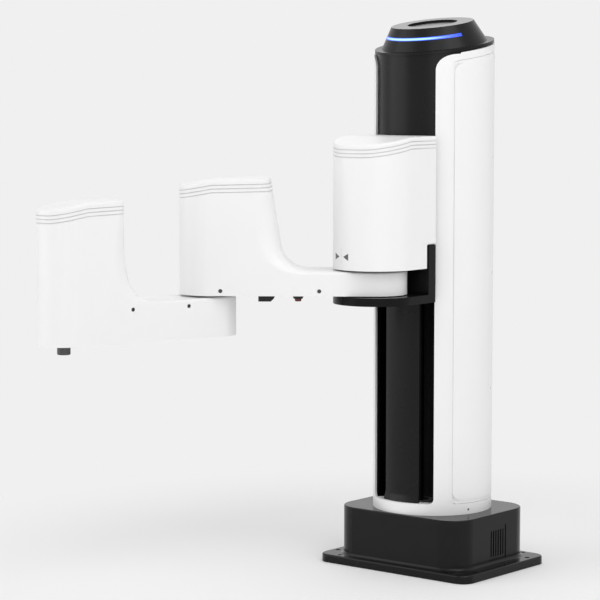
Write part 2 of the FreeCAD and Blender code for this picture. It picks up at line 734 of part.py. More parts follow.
inlet_x = (back_face - S.panel_thick * 2, back_face + S.inlet_depth)
inlet_block = port(S.inlet_at, S.inlet_width, S.inlet_height, inlet_x)
switch_x = (back_face - S.panel_thick * 2, back_face + S.socket_depth)
switch_block = port(S.switch_at, S.switch_width, S.switch_height, switch_x)
net_blocks = [port(at, S.net_width, S.net_height) for at in net_spots]
io_blocks = [signal_box(height, port_x) for height in io_rows]
keep(cut(panel, inlet_block, switch_block, *(net_blocks + io_blocks)), "interface_panel")

PORT_WALL = S.panel_thick
well_x = (back_face - S.panel_thick * 3, back_face + S.socket_depth - S.panel_thick)
inlet_well = port(S.inlet_at, S.inlet_width, S.inlet_height, well_x, -PORT_WALL)
inlet_back = back_face + S.socket_depth - S.panel_thick * 2
blade_y, blade_z = S.blade_long / 2, S.blade_thick / 2
blades = []
for side, rise in ((-1, -1), (0, 1), (1, -1)):
    at_y = S.inlet_at + S.blade_pitch * side
    at_z = S.port_height + S.blade_thick * rise
    blades.append(box((back_face + S.blade_sunk, inlet_back + PORT_WALL * 2), (at_y - blade_z, at_y + blade_z),
                      (at_z - blade_y, at_z + blade_y)))
keep(fuse(cut(inlet_block, inlet_well), *blades), "power_inlet")
net_wells = [port(at, S.net_width, S.net_height, well_x, -PORT_WALL) for at in net_spots]
keep(group(*[cut(a, b) for a, b in zip(net_blocks, net_wells)]), "network_sockets")
io_wells = [signal_box(height, well_x, PORT_WALL) for height in io_rows]
keep(group(*[cut(a, b) for a, b in zip(io_blocks, io_wells)]), "signal_sockets")

switch_well = port(S.switch_at, S.switch_width, S.switch_height, well_x, -S.switch_rim + S.free_gap)
rocker_deep = S.panel_thick * 3
rocker_half = S.switch_height / 2 - S.switch_rim - rocker_deep * tangent(S.switch_tilt)
rocker_face = back_face - S.panel_thick * 2
ROCKER_AXIS_X = rocker_face + rocker_deep
rocker = prism("Rocker", "XZ_Plane",
               [(-rocker_deep, ZERO), (-rocker_deep - rocker_half * tangent(S.switch_tilt), rocker_half),
                (ZERO, rocker_half), (rocker_deep / 2, ZERO), (ZERO, -rocker_half),
                (-rocker_deep - rocker_half * tangent(S.switch_tilt), -rocker_half)],
               -S.switch_at - S.switch_width / 2 + S.switch_rim,
               -S.switch_at + S.switch_width / 2 - S.switch_rim)
rocker.Placement = Placement(Vector(0, 0, 0), Rotation(Vector(0, 1, 0), S.switch_tilt.value))
bind(rocker, "Placement.Rotation.Angle", S.switch_tilt)
move_to(rocker, ROCKER_AXIS_X, ZERO, S.port_height)
pivot_pin_y = (S.switch_at - S.switch_width / 2 + S.free_gap, S.switch_at + S.switch_width / 2 - S.free_gap)


def rocker_pin(radius, y):
    """The switch's pivot, a level pin across the rocker."""
    return pin(radius, y[1] - y[0], ROCKER_AXIS_X, y[0], S.port_height, 90)


keep(fuse(rocker, rocker_pin(S.switch_pin, pivot_pin_y)), "switch_rocker")
pin_hole_y = (pivot_pin_y[0] - 1, pivot_pin_y[1] + 1)
keep(cut(switch_block, switch_well, rocker_pin(S.switch_pin + S.run_fit, pin_hole_y)), "switch_bezel")


def grille(y_low, y_high):
    """A louvred plate in the side wall."""
    plate = box((grille_x[0] + S.fit_gap, grille_x[1] - S.fit_gap), (y_low, y_high),
                (S.grille_low + S.fit_gap, S.grille_high - S.fit_gap))
    count = int((S.grille_width.value - S.louvre_pitch.value) / S.louvre_pitch.value)
    first = S.grille_at - S.louvre_pitch * (count - 1) / 2
    slots = []
    for i in range(count):
        middle = first + S.louvre_pitch * i
        slots.append(box((middle - S.louvre_slot / 2, middle + S.louvre_slot / 2),
                         (y_low - 1, y_high + 1),
                         (S.grille_low + S.louvre_pitch, S.grille_high - S.louvre_pitch)))
    return cut(plate, *slots)


grille_face = side_face - S.grille_sunk
keep(group(grille(grille_face - S.grille_thick, grille_face),
           grille(-grille_face, -grille_face + S.grille_thick)), "side_grilles")

supply = box((-S.supply_x / 2, S.supply_x / 2), (S.supply_side, S.supply_side + S.supply_y),
             (cover_top, cover_top + S.supply_z))
keep(supply, "power_supply")
board_low = cover_top + S.board_lift
board_y = (-S.supply_side - S.supply_y, -S.supply_side)
board = box((-S.supply_x / 2, S.supply_x / 2), board_y, (board_low, board_low + S.board_thick))
spread_x, spread_y = S.supply_x / 2 - S.post_inset, S.supply_y / 2 - S.post_inset
middle_y = -S.supply_side - S.supply_y / 2
posts = [cylinder(S.boss_radius / 2, (cover_top, board_low), a, middle_y + b)
         for a in (spread_x, -spread_x) for b in (spread_y, -spread_y)]
chips = [box((S.supply_x * a, S.supply_x * b), (board_y[0] + S.supply_y * c, board_y[0] + S.supply_y * d),
             (board_low + S.board_thick, board_low + S.board_thick * e))
         for a, b, c, d, e in ((-0.4, -0.2, 0.2, 0.5, 6), (0.0, 0.15, 0.3, 0.6, 3), (0.25, 0.4, 0.2, 0.8, 8))]
keep(fuse(board, *(posts + chips)), "control_board")

# Column tube, shell, covers and cap

CUTTER = as_size(150)


def tilted_slab(low, high):
    """A wide disc square to the cap's axis, between two distances from the rim plane."""
    slab = doc.addObject("Part::Cylinder", "Slab")
    slab.Placement = Placement(Vector(0, 0, 0), Rotation(Vector(0, 1, 0), S.cap_tilt.value))
    bind(slab, "Radius", CUTTER)
    bind(slab, "Height", as_size(high) - low)
    bind(slab, "Placement.Rotation.Angle", S.cap_tilt)
    move_to(slab, as_size(low) * sine(S.cap_tilt), ZERO, S.rim_height + as_size(low) * cosine(S.cap_tilt))
    return slab


def hoop(inner, outer, z):
    return cut(cylinder(outer, z), cylinder(inner, (as_size(z[0]) - 1, as_size(z[1]) + 1)))


def along_y(edge):
    ends = edge.Vertexes
    if len(ends) != 2:
        return False
    run = ends[1].Point - ends[0].Point
    return abs(run.x) < 1e-6 and abs(run.z) < 1e-6


tube_outer = S.shell_radius - S.shell_wall - S.shell_gap
tube_inner = tube_outer - S.tube_wall
tube_z = (S.block_top, S.tube_top)
mouth = box((ZERO, CUTTER), (-S.tube_mouth, S.tube_mouth), (ZERO, S.tube_top + 1))
web = common(box((S.web_back, S.web_back + S.web_thick), (-CUTTER, CUTTER), tube_z),
             cylinder(tube_inner + 1, tube_z))
ribs = [box((S.web_back + S.web_thick, S.rail_seat), (a, b), tube_z)
        for a, b in ((S.rib_inner, S.rib_outer), (-S.rib_outer, -S.rib_inner))]
tube = fuse(cut(hoop(tube_inner, tube_outer, tube_z), mouth), web, *ribs)

SKIN_TURNS = [S.shell_screw_turn, -S.shell_screw_turn]
SKIN_HEIGHTS = [S.shell_screw_low + S.shell_screw_pitch * i for i in range(3)]
FOOT_TURNS = [S.foot_screw_turn, S.foot_screw_turn + S.foot_screw_step]
FOOT_TURNS = FOOT_TURNS + [-turn for turn in FOOT_TURNS]


def skin_screws(radius, length, start, turns, heights):
    """Screws that point at the column's axis."""
    pins = []
    for turn in turns:
        for height in heights:
            pins.append(pin(radius, length, start * cosine(turn), start * sine(turn), height,
                            turn.value + 180))
    return pins


skin_start = S.shell_radius - S.free_gap
skin_long = S.shell_wall + S.tube_wall
skin_pins = (skin_screws(S.shell_screw, skin_long, skin_start, SKIN_TURNS, SKIN_HEIGHTS)
             + skin_screws(S.shell_screw, skin_long, skin_start, FOOT_TURNS, [S.foot_screw_high]))
skin_holes = (skin_screws(S.shell_screw, skin_long + 1, skin_start + 1, SKIN_TURNS, SKIN_HEIGHTS)
              + skin_screws(S.shell_screw, skin_long + 1, skin_start + 1, FOOT_TURNS, [S.foot_screw_high]))
keep(cut(tube, *skin_holes), "column_tube")
keep(group(*skin_pins), "shell_screws")

shell_inner = S.shell_radius - S.shell_wall
shell_z = (S.block_top, S.rim_height + S.shell_radius)
above_shell = tilted_slab(-S.window_corner / 3, CUTTER)
window = new_body("Window")
window_sketch = sketch_on(window, "YZ_Plane", ZERO)
draw_polygon(window_sketch, [(-S.window_half, S.window_sill), (S.window_half, S.window_sill),
                             (S.window_half, CUTTER * 5), (-S.window_half, CUTTER * 5)])
window_pad = pad(window, window_sketch, CUTTER)


def window_foot(edge):
    ends = edge.Vertexes
    if len(ends) != 2:
        return False
    run = ends[1].Point - ends[0].Point
    return abs(run.y) < 1e-6 and abs(run.z) < 1e-6 and abs(ends[0].Point.z - S.window_sill.value) < 1e-4


fillet(window, window_pad, window_foot, S.window_corner)
flare_low = S.rim_height - S.window_flare - S.flare_drop / 2
flare_y = S.window_half + S.window_flare
flare = cut(box((ZERO, CUTTER), (-flare_y, flare_y), (flare_low, CUTTER * 5)),
            pin(S.window_flare, CUTTER, ZERO, flare_y, flare_low, 0),
            pin(S.window_flare, CUTTER, ZERO, -flare_y, flare_low, 0))


def cover_prism(name, inset):
    """The rear cover's outline as seen from the side, right across the column."""
    slope = tangent(S.cap_tilt)
    front = S.cover_front - inset
    foot = S.cover_foot + inset
    top = S.rim_height - S.cover_drop - inset
    body = new_body(name)
    sketch = sketch_on(body, "XZ_Plane", -CUTTER)
    draw_polygon(sketch, [(-CUTTER, foot), (front, foot), (front, top - front * slope),
                          (-CUTTER, top + CUTTER * slope)])
    last = pad(body, sketch, CUTTER * 2)
    fillet(body, last, lambda edge: along_y(edge) and edge.BoundBox.XMin > 0, S.cover_corner)
    return body


opening = cover_prism("Opening", ZERO)
shell = cut(hoop(shell_inner, S.shell_radius, shell_z), above_shell, window, flare, opening, *skin_holes)
keep(shell, "column_shell")
border_prism = cover_prism("Border", S.cover_gap)
field_prism = cover_prism("Field", S.cover_border)
cover = fuse(common(hoop(shell_inner, S.shell_radius - S.border_depth, shell_z), border_prism),
             common(hoop(shell_inner, S.shell_radius, shell_z), field_prism))
keep(cut(cover, *skin_holes), "rear_cover")

sill = revolved("Sill", [(S.shell_radius - S.strip_foot - S.strip_thick, S.block_top),
                         (shell_inner - S.cover_gap, S.block_top),
                         (shell_inner - S.cover_gap, S.window_sill),
                         (S.shell_radius - S.strip_foot - S.strip_thick, S.window_sill)],
                S.sill_half * 2)
keep(sill, "window_sill")
strip_inner = S.strip_radius - S.strip_thick
lap = S.strip_radius - S.strip_thick / 5
strip = revolved("Strip", [(strip_inner, S.window_sill), (shell_inner - S.cover_gap * 2, S.window_sill),
                           (S.strip_radius, S.window_sill + S.strip_foot),
                           (S.strip_radius, S.strip_top - S.free_gap), (lap - S.free_gap, S.strip_top - S.free_gap),
                           (lap - S.free_gap, S.strip_top + S.strip_foot),
                           (strip_inner, S.strip_top + S.strip_foot)], S.strip_half * 2)
keep(strip, "front_strip")

housing_z = (S.apron_low, S.rim_height + S.shell_radius)
apron_box = box((ZERO, CUTTER), (-S.tube_mouth + S.free_gap, S.tube_mouth - S.free_gap),
                (S.apron_low, S.tube_top))
above_tube = cylinder(CUTTER, (S.tube_top, housing_z[1]))
housing = common(hoop(tube_inner, tube_outer, housing_z), fuse(apron_box, above_tube))
keep(cut(housing, tilted_slab(ZERO, CUTTER)), "upper_housing")

TILT_UP = Rotation(Vector(0, 1, 0), S.cap_tilt.value)


def on_cap(thing):
    """Tilt a piece drawn about the cap's axis and set it on the rim plane."""
    thing.Placement = Placement(Vector(0, 0, 0), TILT_UP)
    bind(thing, "Placement.Rotation.Angle", S.cap_tilt)
    move_to(thing, ZERO, ZERO, S.rim_height)
    return thing


def cone_at(height):
    """Outer radius of the cone at a height over the rim plane."""
    share = (as_size(height) - S.rim_thick) / (S.cone_rise - S.rim_thick)
    return S.cone_foot - (S.cone_foot - S.cone_top) * share


rim = common(cut(cylinder(S.rim_radius, shell_z), cylinder(S.cone_foot - S.cone_wall * 2, shell_z)),
             tilted_slab(ZERO, S.rim_thick))
dish_floor = S.cone_rise - S.dish_depth
inner_top = dish_floor - S.cone_wall
soft = S.cone_wall / 4
cone = revolved("Cone", [(ZERO, dish_floor), (S.dish_radius, dish_floor), (S.dish_radius, S.cone_rise),
                         (S.cone_top - soft, S.cone_rise), (S.cone_top, S.cone_rise - soft),
                         (S.cone_foot, S.rim_thick), (S.cone_foot - S.cone_wall, S.rim_thick),
                         (cone_at(inner_top) - S.cone_wall, inner_top), (ZERO, inner_top)])
light_low = S.light_rise - S.light_high / 2
light_high = S.light_rise + S.light_high / 2
light = revolved("Light", [(cone_at(light_low) - S.light_deep, light_low), (cone_at(light_low), light_low),
                           (cone_at(light_high), light_high),
                           (cone_at(light_high) - S.light_deep, light_high)], S.light_half * 2)
on_cap(cone)
on_cap(light)
keep(cut(fuse(rim, cone), light), "cap")
keep(light, "light_strip")

# Lift drive in the column

rails = [box((S.rail_seat, S.rail_seat + S.rail_depth), (side - S.rail_width / 2, side + S.rail_width / 2),
             (S.rail_low, S.rail_high)) for side in (S.rail_at, -S.rail_at)]
keep(group(*rails), "lift_rails")

screw = cylinder(S.screw_radius, (S.screw_low, S.screw_high), S.screw_at)
keep(screw, "ball_screw")
bore = S.screw_radius + S.run_fit
lower_block = (S.block_top, S.block_top + S.block_height)
upper_block = (S.upper_block, S.upper_block + S.block_height)
block_x = (S.web_back + S.web_thick, S.screw_at + S.block_half)
bearings, blocks = [], []
for z in (lower_block, upper_block):
    body = box(block_x, (-S.block_half, S.block_half), z)
    blocks.append(cut(body, cylinder(S.bearing_radius, (z[0] - 1, z[1] + 1), S.screw_at)))
    bearings.append(cut(cylinder(S.bearing_radius, z, S.screw_at),
                        cylinder(bore, (z[0] - 1, z[1] + 1), S.screw_at)))
keep(group(*blocks), "screw_bearing_blocks")
keep(group(*bearings), "screw_bearings")


def pulley(name, inner):
    """A flanged timing pulley."""
    low = S.pulley_low
    high = S.pulley_high
    return revolved(name, [(inner, low), (S.pulley_flange, low), (S.pulley_flange, low + S.flange_plate),
                           (S.pulley_radius, low + S.flange_plate), (S.pulley_radius, high - S.flange_plate),
                           (S.pulley_flange, high - S.flange_plate), (S.pulley_flange, high), (inner, high)])


screw_pulley = pulley("ScrewPulley", S.screw_radius)
move_to(screw_pulley, S.screw_at)
keep(screw_pulley, "screw_pulley")
motor_pulley = pulley("MotorPulley", S.motor_shaft)
move_to(motor_pulley, S.motor_at)
motor_shaft = cylinder(S.motor_shaft, (S.pulley_low, S.block_top + S.block_height), S.motor_at)
keep(fuse(motor_pulley, motor_shaft), "motor_pulley")
motor_x = (S.motor_at - S.motor_side / 2, S.motor_at + S.motor_side / 2)
motor_body = box(motor_x, (-S.motor_side / 2, S.motor_side / 2), (S.block_top, S.block_top + S.motor_high))
shaft_hole = cylinder(S.motor_shaft + S.run_fit, (S.block_top - 1, S.block_top + S.block_height + 1), S.motor_at)
keep(cut(motor_body, shaft_hole), "lift_motor")

belt_middle = (S.pulley_low + S.pulley_high) / 2
belt_z = (belt_middle - S.belt_width / 2, belt_middle + S.belt_width / 2)


def belt_outline(radius, z):
    return fuse(cylinder(radius, z, S.screw_at), cylinder(radius, z, S.motor_at),
                box((S.motor_at, S.screw_at), (-radius, radius), z))


belt_inner = S.pulley_radius + S.free_gap
keep(cut(belt_outline(belt_inner + S.belt_thick, belt_z),
         belt_outline(belt_inner, (belt_z[0] - 1, belt_z[1] + 1))), "timing_belt")

drivers = []
for i in range(3):
    low = S.driver_low + S.driver_pitch * i
    drivers.append(box((S.web_back - S.driver_x, S.web_back), (-S.driver_y / 2, S.driver_y / 2),
                       (low, low + S.driver_z)))
keep(group(*drivers), "servo_drivers")

# Carriage


def carriage_plate(radius, z):
    """A plate that is round about the shoulder and square at the back wall."""
    return fuse(cylinder(radius, z, S.shoulder_at), box((S.wall_back, S.shoulder_at), (-radius, radius), z))


disc_top = S.disc_low + S.disc_thick
upper_top = S.upper_low + S.upper_thick
inner_half = S.disc_radius - S.casing_wall - S.free_gap
lower_plate = carriage_plate(S.disc_radius, (S.disc_low, disc_top))
upper_plate = carriage_plate(inner_half, (S.upper_low, upper_top))
lower_wall = box((S.wall_back, S.wall_front), (-S.disc_radius, S.disc_radius),
                 (S.disc_low, S.notch_high - S.free_gap))
upper_wall = box((S.wall_back, S.wall_front), (-inner_half, inner_half), (S.disc_low, S.tongue_high))
hollow = cylinder(S.wall_relief, (S.disc_low - 1, S.tongue_high + 1))
root_space = cylinder(S.arm_radius + S.root_gap, (disc_top, S.upper_low), S.shoulder_at)
low_race = cylinder(S.race_low, (disc_top - S.race_thick - 1, disc_top + 1), S.shoulder_at)
high_race = cylinder(S.race_high, (S.upper_low + S.bearing_lip, upper_top + 1), S.shoulder_at)
lip_hole = cylinder(S.race_high - S.race_ledge, (S.upper_low - 1, upper_top), S.shoulder_at)
tongues = [box((S.slide_front, S.wall_back + S.tongue_lap), pair, (S.tongue_low, S.tongue_high))
           for pair in ((S.tongue_inner, S.tongue_outer), (-S.tongue_outer, -S.tongue_inner))]
reducer_room = cylinder(S.reducer_radius + S.fit_gap, (upper_top, S.tongue_high + 1), S.shoulder_at)
bracket = cut(fuse(lower_plate, upper_plate, lower_wall, upper_wall), hollow, root_space,
              low_race, high_race, lip_hole, reducer_room)
keep(fuse(bracket, *tongues), "carriage_bracket")

plate_back = S.rail_seat + S.block_deep
slide_z = (S.tongue_low, S.tongue_high)
keep(box((plate_back, S.slide_front), (-S.slide_half, S.slide_half), slide_z), "slide_plate")
rail_blocks = []
for low in (S.tongue_low, S.tongue_high - S.block_long):
    for side in (S.rail_at, -S.rail_at):
        body = box((S.rail_seat + S.block_lift, plate_back), (side - S.block_wide / 2, side + S.block_wide / 2),
                   (low, low + S.block_long))
        gap = S.rail_width / 2 + S.free_gap
        slot = box((S.rail_seat, S.rail_seat + S.rail_depth + S.free_gap), (side - gap, side + gap),
                   (low - 1, low + S.block_long + 1))
        rail_blocks.append(cut(body, slot))
keep(group(*rail_blocks), "rail_blocks")
nut_seat = S.nut_low + S.nut_long / 6
nut_rim = S.nut_flange - S.nut_trim
nut = revolved("Nut", [(bore, S.nut_low), (nut_rim, S.nut_low), (nut_rim, nut_seat),
                       (S.nut_radius, nut_seat), (S.nut_radius, S.nut_low + S.nut_long),
                       (bore, S.nut_low + S.nut_long)])
move_to(nut, S.screw_at)
keep(nut, "ball_nut")
nut_z = (nut_seat, nut_seat + S.nut_long / 2)
nut_block = box((S.screw_at - S.nut_flange + S.nut_flat, plate_back), (-S.nut_flange, S.nut_flange), nut_z)
keep(cut(nut_block, cylinder(S.nut_radius, (nut_seat - 1, nut_z[1] + 1), S.screw_at)), "nut_housing")

low_journal = ring("LowBearing", S.journal_low, S.race_low, (disc_top - S.race_thick, disc_top))
high_journal = ring("HighBearing", S.journal_high, S.race_high, (S.upper_low + S.bearing_lip, upper_top))
keep(group(low_journal, high_journal), "shoulder_bearings")
move_to(NODES[-1], S.shoulder_at)
shaft_top = upper_top + S.race_thick
reducer_z = (upper_top, upper_top + S.reducer_high)
reducer = cut(cylinder(S.reducer_radius, reducer_z, S.shoulder_at),
              cylinder(S.journal_high + S.free_gap, (upper_top - 1, shaft_top + S.free_gap), S.shoulder_at))
keep(reducer, "shoulder_reducer")
half = S.shoulder_motor_side / 2
keep(box((S.shoulder_at - half, S.shoulder_at + half), (-half, half),
         (reducer_z[1], reducer_z[1] + S.shoulder_motor_high)), "shoulder_motor")


# Moulded casings with stepped tops, shared by the carriage and both arms

def corner_arc(before, at, after, radius):
    """Start, middle and end of the arc that rounds a corner."""
    toward = (before - at).normalize()
    away = (after - at).normalize()
    turn = math.pi - toward.getAngle(away)
    reach = radius * math.tan(turn / 2)
    bisector = (toward + away).normalize()
    centre = at + bisector * (radius / math.cos(turn / 2))
    return at + toward * reach, centre - bisector * radius, at + away * reach


def rounded_face(corners):
    """A face in the XZ plane from corners (x, z, radius)."""
    spots = [Vector(x, 0, z) for x, z, radius in corners]
    edges = []
    last = None
    first = None
    for i, (x, z, radius) in enumerate(corners):
        if radius > 0:
            start, middle, end = corner_arc(spots[i - 1], spots[i], spots[(i + 1) % len(spots)], radius)
        else:
            start = middle = end = spots[i]
        if last is None:
            first = start
        else:
            edges.append(Part.LineSegment(last, start).toShape())
        if radius > 0:
            edges.append(Part.Arc(start, middle, end).toShape())
        last = end
    edges.append(Part.LineSegment(last, first).toShape())
    return Part.Face(Part.Wire(edges))


def slab_of(corners, half):
    """The profile's solid, across the casing."""
    face = rounded_face(corners)
    face.translate(Vector(0, -half, 0))
    return face.extrude(Vector(0, half * 2, 0))


def bar_solid(radius, near, far, low, high, round_near):
    """An upright bar with a round far end, and a round or square near end."""
    middle = Part.makeBox(far - near, radius * 2, high - low, Vector(near, -radius, low))
    solid = middle.fuse(Part.makeCylinder(radius, high - low, Vector(far, 0, low)))
    if round_near:
        solid = solid.fuse(Part.makeCylinder(radius, high - low, Vector(near, 0, low)))
    return solid.removeSplitter()


def is_smooth(shape, edge):
    """Whether the two faces beside an edge run on into each other."""
    faces = shape.ancestorsOfType(edge, Part.Face)
    if len(faces) != 2:
        return True
    middle = edge.valueAt((edge.FirstParameter + edge.LastParameter) / 2)
    normals = []
    for face in faces:
        u, v = face.Surface.parameter(middle)
        normals.append(face.normalAt(u, v))
    return abs(normals[0].getAngle(normals[1])) < 0.02 or abs(normals[0].getAngle(normals[1]) - math.pi) < 0.02


class Casing:
    """A casing along +X: its bar, its profile, and the tower corners that are rounded more."""

    def __init__(self, radius, near, far, low, profile, round_near):
        self.radius = radius
        self.near = near
        self.far = far
        self.low = low
        self.profile = profile
        self.round_near = round_near
        self.tower = None

    def solid(self, inset, low):
        corners = self.profile(inset, low)
        high = max(z for x, z, radius in corners) + 1
        near = self.near if self.round_near else self.near - 1
        bar = bar_solid(self.radius - inset, near, self.far, low, high, self.round_near)
        return bar.common(slab_of(corners, self.radius + 1))

    def corner_radii(self, edge, inset, plain):
        """Radii at the lower and the upper end of an edge of the tower's back corners."""
        low_end, high_end = sorted((vertex.Point for vertex in edge.Vertexes), key=lambda spot: spot.z)
        top, foot, back_x, ledge = self.tower
        upright = high_end.z - low_end.z > S.case_edge.value
        if not upright or high_end.x > back_x + inset + 1:
            return plain, plain
        tight, wide = S.corner_top.value - inset, S.corner_foot.value - inset
        low_radius = plain if low_end.z < ledge + 1 else wide
        high_radius = wide if high_end.z < foot + 1 else tight
        return low_radius, high_radius

    def rounded(self, inset, low):
        """The solid with its edges rounded, by the radius that an inset leaves of them."""
        solid = self.solid(inset, low)
        plain = max(S.case_edge.value - inset, S.groove_deep.value / 2)
        edges = [(i, edge) for i, edge in enumerate(solid.Edges, 1)
                 if edge.BoundBox.ZMax > self.low + 1 and not is_smooth(solid, edge)]
        if self.tower is None:
            return solid.makeFillet(plain, [edge for i, edge in edges if edge.BoundBox.XMax > self.near + 1])
        sharp = casing_feature("SharpCasing", solid)
        rounding = doc.addObject("Part::Fillet", "CasingRounding")
        rounding.Base = sharp
        for left_first in (False, True):
            for right_first in (True, False):
                picks = []
                for i, edge in edges:
                    pair = self.corner_radii(edge, inset, plain)
                    turned = left_first if edge.CenterOfMass.y > 0 else right_first
                    picks.append((i,) + (pair[::-1] if turned else pair))
                rounding.Edges = picks
                doc.recompute()
                if rounding.Shape.isValid() and self.tight_at_top(rounding.Shape, inset):
                    return rounding.Shape
        raise RuntimeError("the tower's back corners can't be rounded")

    def tight_at_top(self, shape, inset):
        """Whether the tower's back corners are as full at their top as they should be."""
        top, foot, back_x, ledge = self.tower
        probe = (S.corner_top.value + S.corner_foot.value) / 2 * (1 - math.sqrt(0.5))
        spots = [Vector(back_x + probe, side * (self.radius - inset - probe), top - S.case_edge.value * 2)
                 for side in (1, -1)]
        low_spots = [Vector(spot.x, spot.y, (top + foot) / 2) for spot in spots]
        full = all(shape.isInside(spot, 1e-4, True) for spot in spots)
        return full and all(shape.isInside(spot, 1e-4, True) == shape.isInside(low_spots[0], 1e-4, True)
                            for spot in low_spots)

    def moulded(self, wall, first_groove):
        """The hollow casing with rounded edges and the grooves below its top."""
        shape = self.rounded(0, self.low)
        if self.tower is None:
            shape = shape.cut(self.solid(wall, self.low - 1))
            core = self.solid(S.groove_deep.value, self.low - 1)
        else:
            shape = shape.cut(self.rounded(wall, self.low - 1))
            core = self.rounded(S.groove_deep.value, self.low - 1)
        skin_ring = self.solid(0, self.low).cut(core)
        for i in range(3):
            drop = first_groove.value + S.groove_pitch.value * i
            shape = shape.cut(skin_ring.common(self.groove_band(drop)))
        return shape

    def groove_band(self, drop):
        """A slab that follows the stepped top, one groove wide."""
        path = self.step(drop)
        wide = S.groove_wide.value
        floor = [(x, z - wide, radius) for x, z, radius in reversed(path)]
        return slab_of(path + floor, self.radius + 1)


def stepped_top(start, high_end, low_start, end, high, low, slope=0.0):
    """The top from back to front: almost level, a ramp down, and level again."""
    return [(start, high + slope * (high_end - start), 0), (high_end, high, S.ramp_crisp.value),
            (low_start, low, S.ramp_soft.value), (end, low, 0)]


BEYOND = 5.0


def arm_casing(radius, reach, low, top, front, back, back_top, back_foot, sweep, step_back, step_front):
    """The casing of an arm, with its tower over the far joint."""
    tower = reach - back_top
    foot = reach - back_foot
    end = reach + radius + BEYOND
    slope = S.top_rise.value / (back_top + step_back)

    def step(drop, start=foot - sweep):
        return stepped_top(start, reach + step_back, reach + step_front, end, back - drop, front - drop, slope)

    def profile(inset, base):
        return ([(-radius - BEYOND, base, 0), (-radius - BEYOND, top - inset, 0),
                 (foot + inset, top - inset, sweep - inset)]
                + step(inset, tower + inset) + [(end, base, 0)])

    casing = Casing(radius, 0, reach, low, profile, True)
    casing.step = step
    lean = math.atan2(foot - tower, back - top)
    sweep_top = top + sweep * math.tan((math.pi / 2 + lean) / 2) * math.cos(lean)
    casing.tower = (back, sweep_top, tower, top)
    return casing


def casing_feature(name, shape):
    thing = doc.addObject("Part::Feature", name)
    thing.Shape = shape
    return thing


def holes_in(shape, tools):
    for tool in tools:
        shape = shape.cut(tool)
    return shape


def round_tool(radius, low, high, x=0):
    return Part.makeCylinder(radius, high - low, Vector(x, 0, low))


def side_tools(radius, length, half, spots, height):
    """Level cylinders into both sides of an arm."""
    tools = []
    for x in spots:
        tools.append(Part.makeCylinder(radius, length, Vector(x, half, height), Vector(0, -1, 0)))
        tools.append(Part.makeCylinder(radius, length, Vector(x, -half, height), Vector(0, 1, 0)))
    return tools




def carriage_step(drop):
    return stepped_top(-S.shoulder_at.value, S.carriage_ramp_back.value, S.carriage_ramp_front.value,
                       S.disc_radius.value + BEYOND, S.casing_back.value - drop, S.casing_front.value - drop)


def carriage_profile(inset, base):
    notch = S.notch_front.value - S.shoulder_at.value
    back = carriage_back - BEYOND
    path = carriage_step(inset)[1:]
    if base < S.casing_low.value:
        return [(back, base, 0), (back, S.casing_back.value - inset, 0)] + path + [(path[-1][0], base, 0)]
    return [(notch, base, 0), (notch, S.notch_high.value, 2), (back, S.notch_high.value, 0),
            (back, S.casing_back.value - inset, 0)] + path + [(path[-1][0], base, 0)]


carriage_back = S.wall_back.value - S.shoulder_at.value
shell_of = Casing(S.disc_radius.value, carriage_back, 0, S.casing_low.value, carriage_profile, False)
shell_of.step = carriage_step
column_space = Part.makeCylinder(S.shell_radius.value + S.free_gap.value, CUTTER.value * 5,
                                 Vector(-S.shoulder_at.value, 0, 0))
behind = Part.makeBox(BEYOND * 2, CUTTER.value, CUTTER.value * 5,
                      Vector(carriage_back - BEYOND * 2, -CUTTER.value / 2, 0))
carriage_case = shell_of.moulded(S.casing_wall.value, S.casing_groove).cut(column_space).cut(behind)
on_carriage(casing_feature("CarriageCasing", carriage_case), "carriage_casing")

rear = arm_casing(S.arm_radius.value, S.arm_reach.value, S.arm_low.value, S.arm_top.value,
                  S.arm_tower_front.value, S.arm_tower_back.value, S.arm_back_top.value,
                  S.arm_back_foot.value, S.arm_sweep.value, S.arm_ramp_back.value, S.arm_ramp_front.value)
rear_holes = side_tools(S.casing_screw.value, S.casing_screw_long.value, S.arm_radius.value,
                        (S.arm_screw_first.value, S.arm_screw_second.value), S.arm_screw_high.value)
shaft_way = round_tool(S.pivot_radius.value + S.shaft_room.value, S.arm_low.value, S.arm_top.value + BEYOND)
rear_case = holes_in(rear.moulded(S.case_wall.value, S.groove_first), rear_holes + [shaft_way])
on_rear_arm(casing_feature("RearArmCasing", rear_case), "rear_arm_casing")

fore = arm_casing(S.fore_radius.value, S.fore_reach.value, S.fore_low.value, S.fore_top.value,
                  S.fore_tower_front.value, S.fore_tower_back.value, S.fore_back_top.value,
                  S.fore_back_foot.value, S.fore_sweep.value, S.fore_ramp_back.value, S.fore_ramp_front.value)
fore_holes = side_tools(S.casing_screw.value, S.casing_screw_long.value, S.fore_radius.value,
                        (S.fore_screw_first.value, S.fore_screw_second.value), S.fore_screw_high.value)
elbow_way = round_tool(S.race_low.value + S.shaft_room.value, S.fore_top.value - BEYOND, S.fore_top.value + BEYOND)
fore_case = holes_in(fore.moulded(S.case_wall.value, S.groove_first), fore_holes + [elbow_way])
on_forearm(casing_feature("ForearmCasing", fore_case), "forearm_casing")

# Rear arm inside its casing


def stadium(radius, near, far, z):
    """A bar with round ends."""
    return fuse(cylinder(radius, z, near), cylinder(radius, z, far), box((near, far), (-radius, radius), z))


def mirrored_pins(radius, length, half, spots, height):
    """Level screws into both sides of an arm."""
    pins = []
    for x in spots:
        pins.append(pin(radius, length, x, half, height, -90))
        pins.append(pin(radius, length, x, -half, height, 90))
    return pins


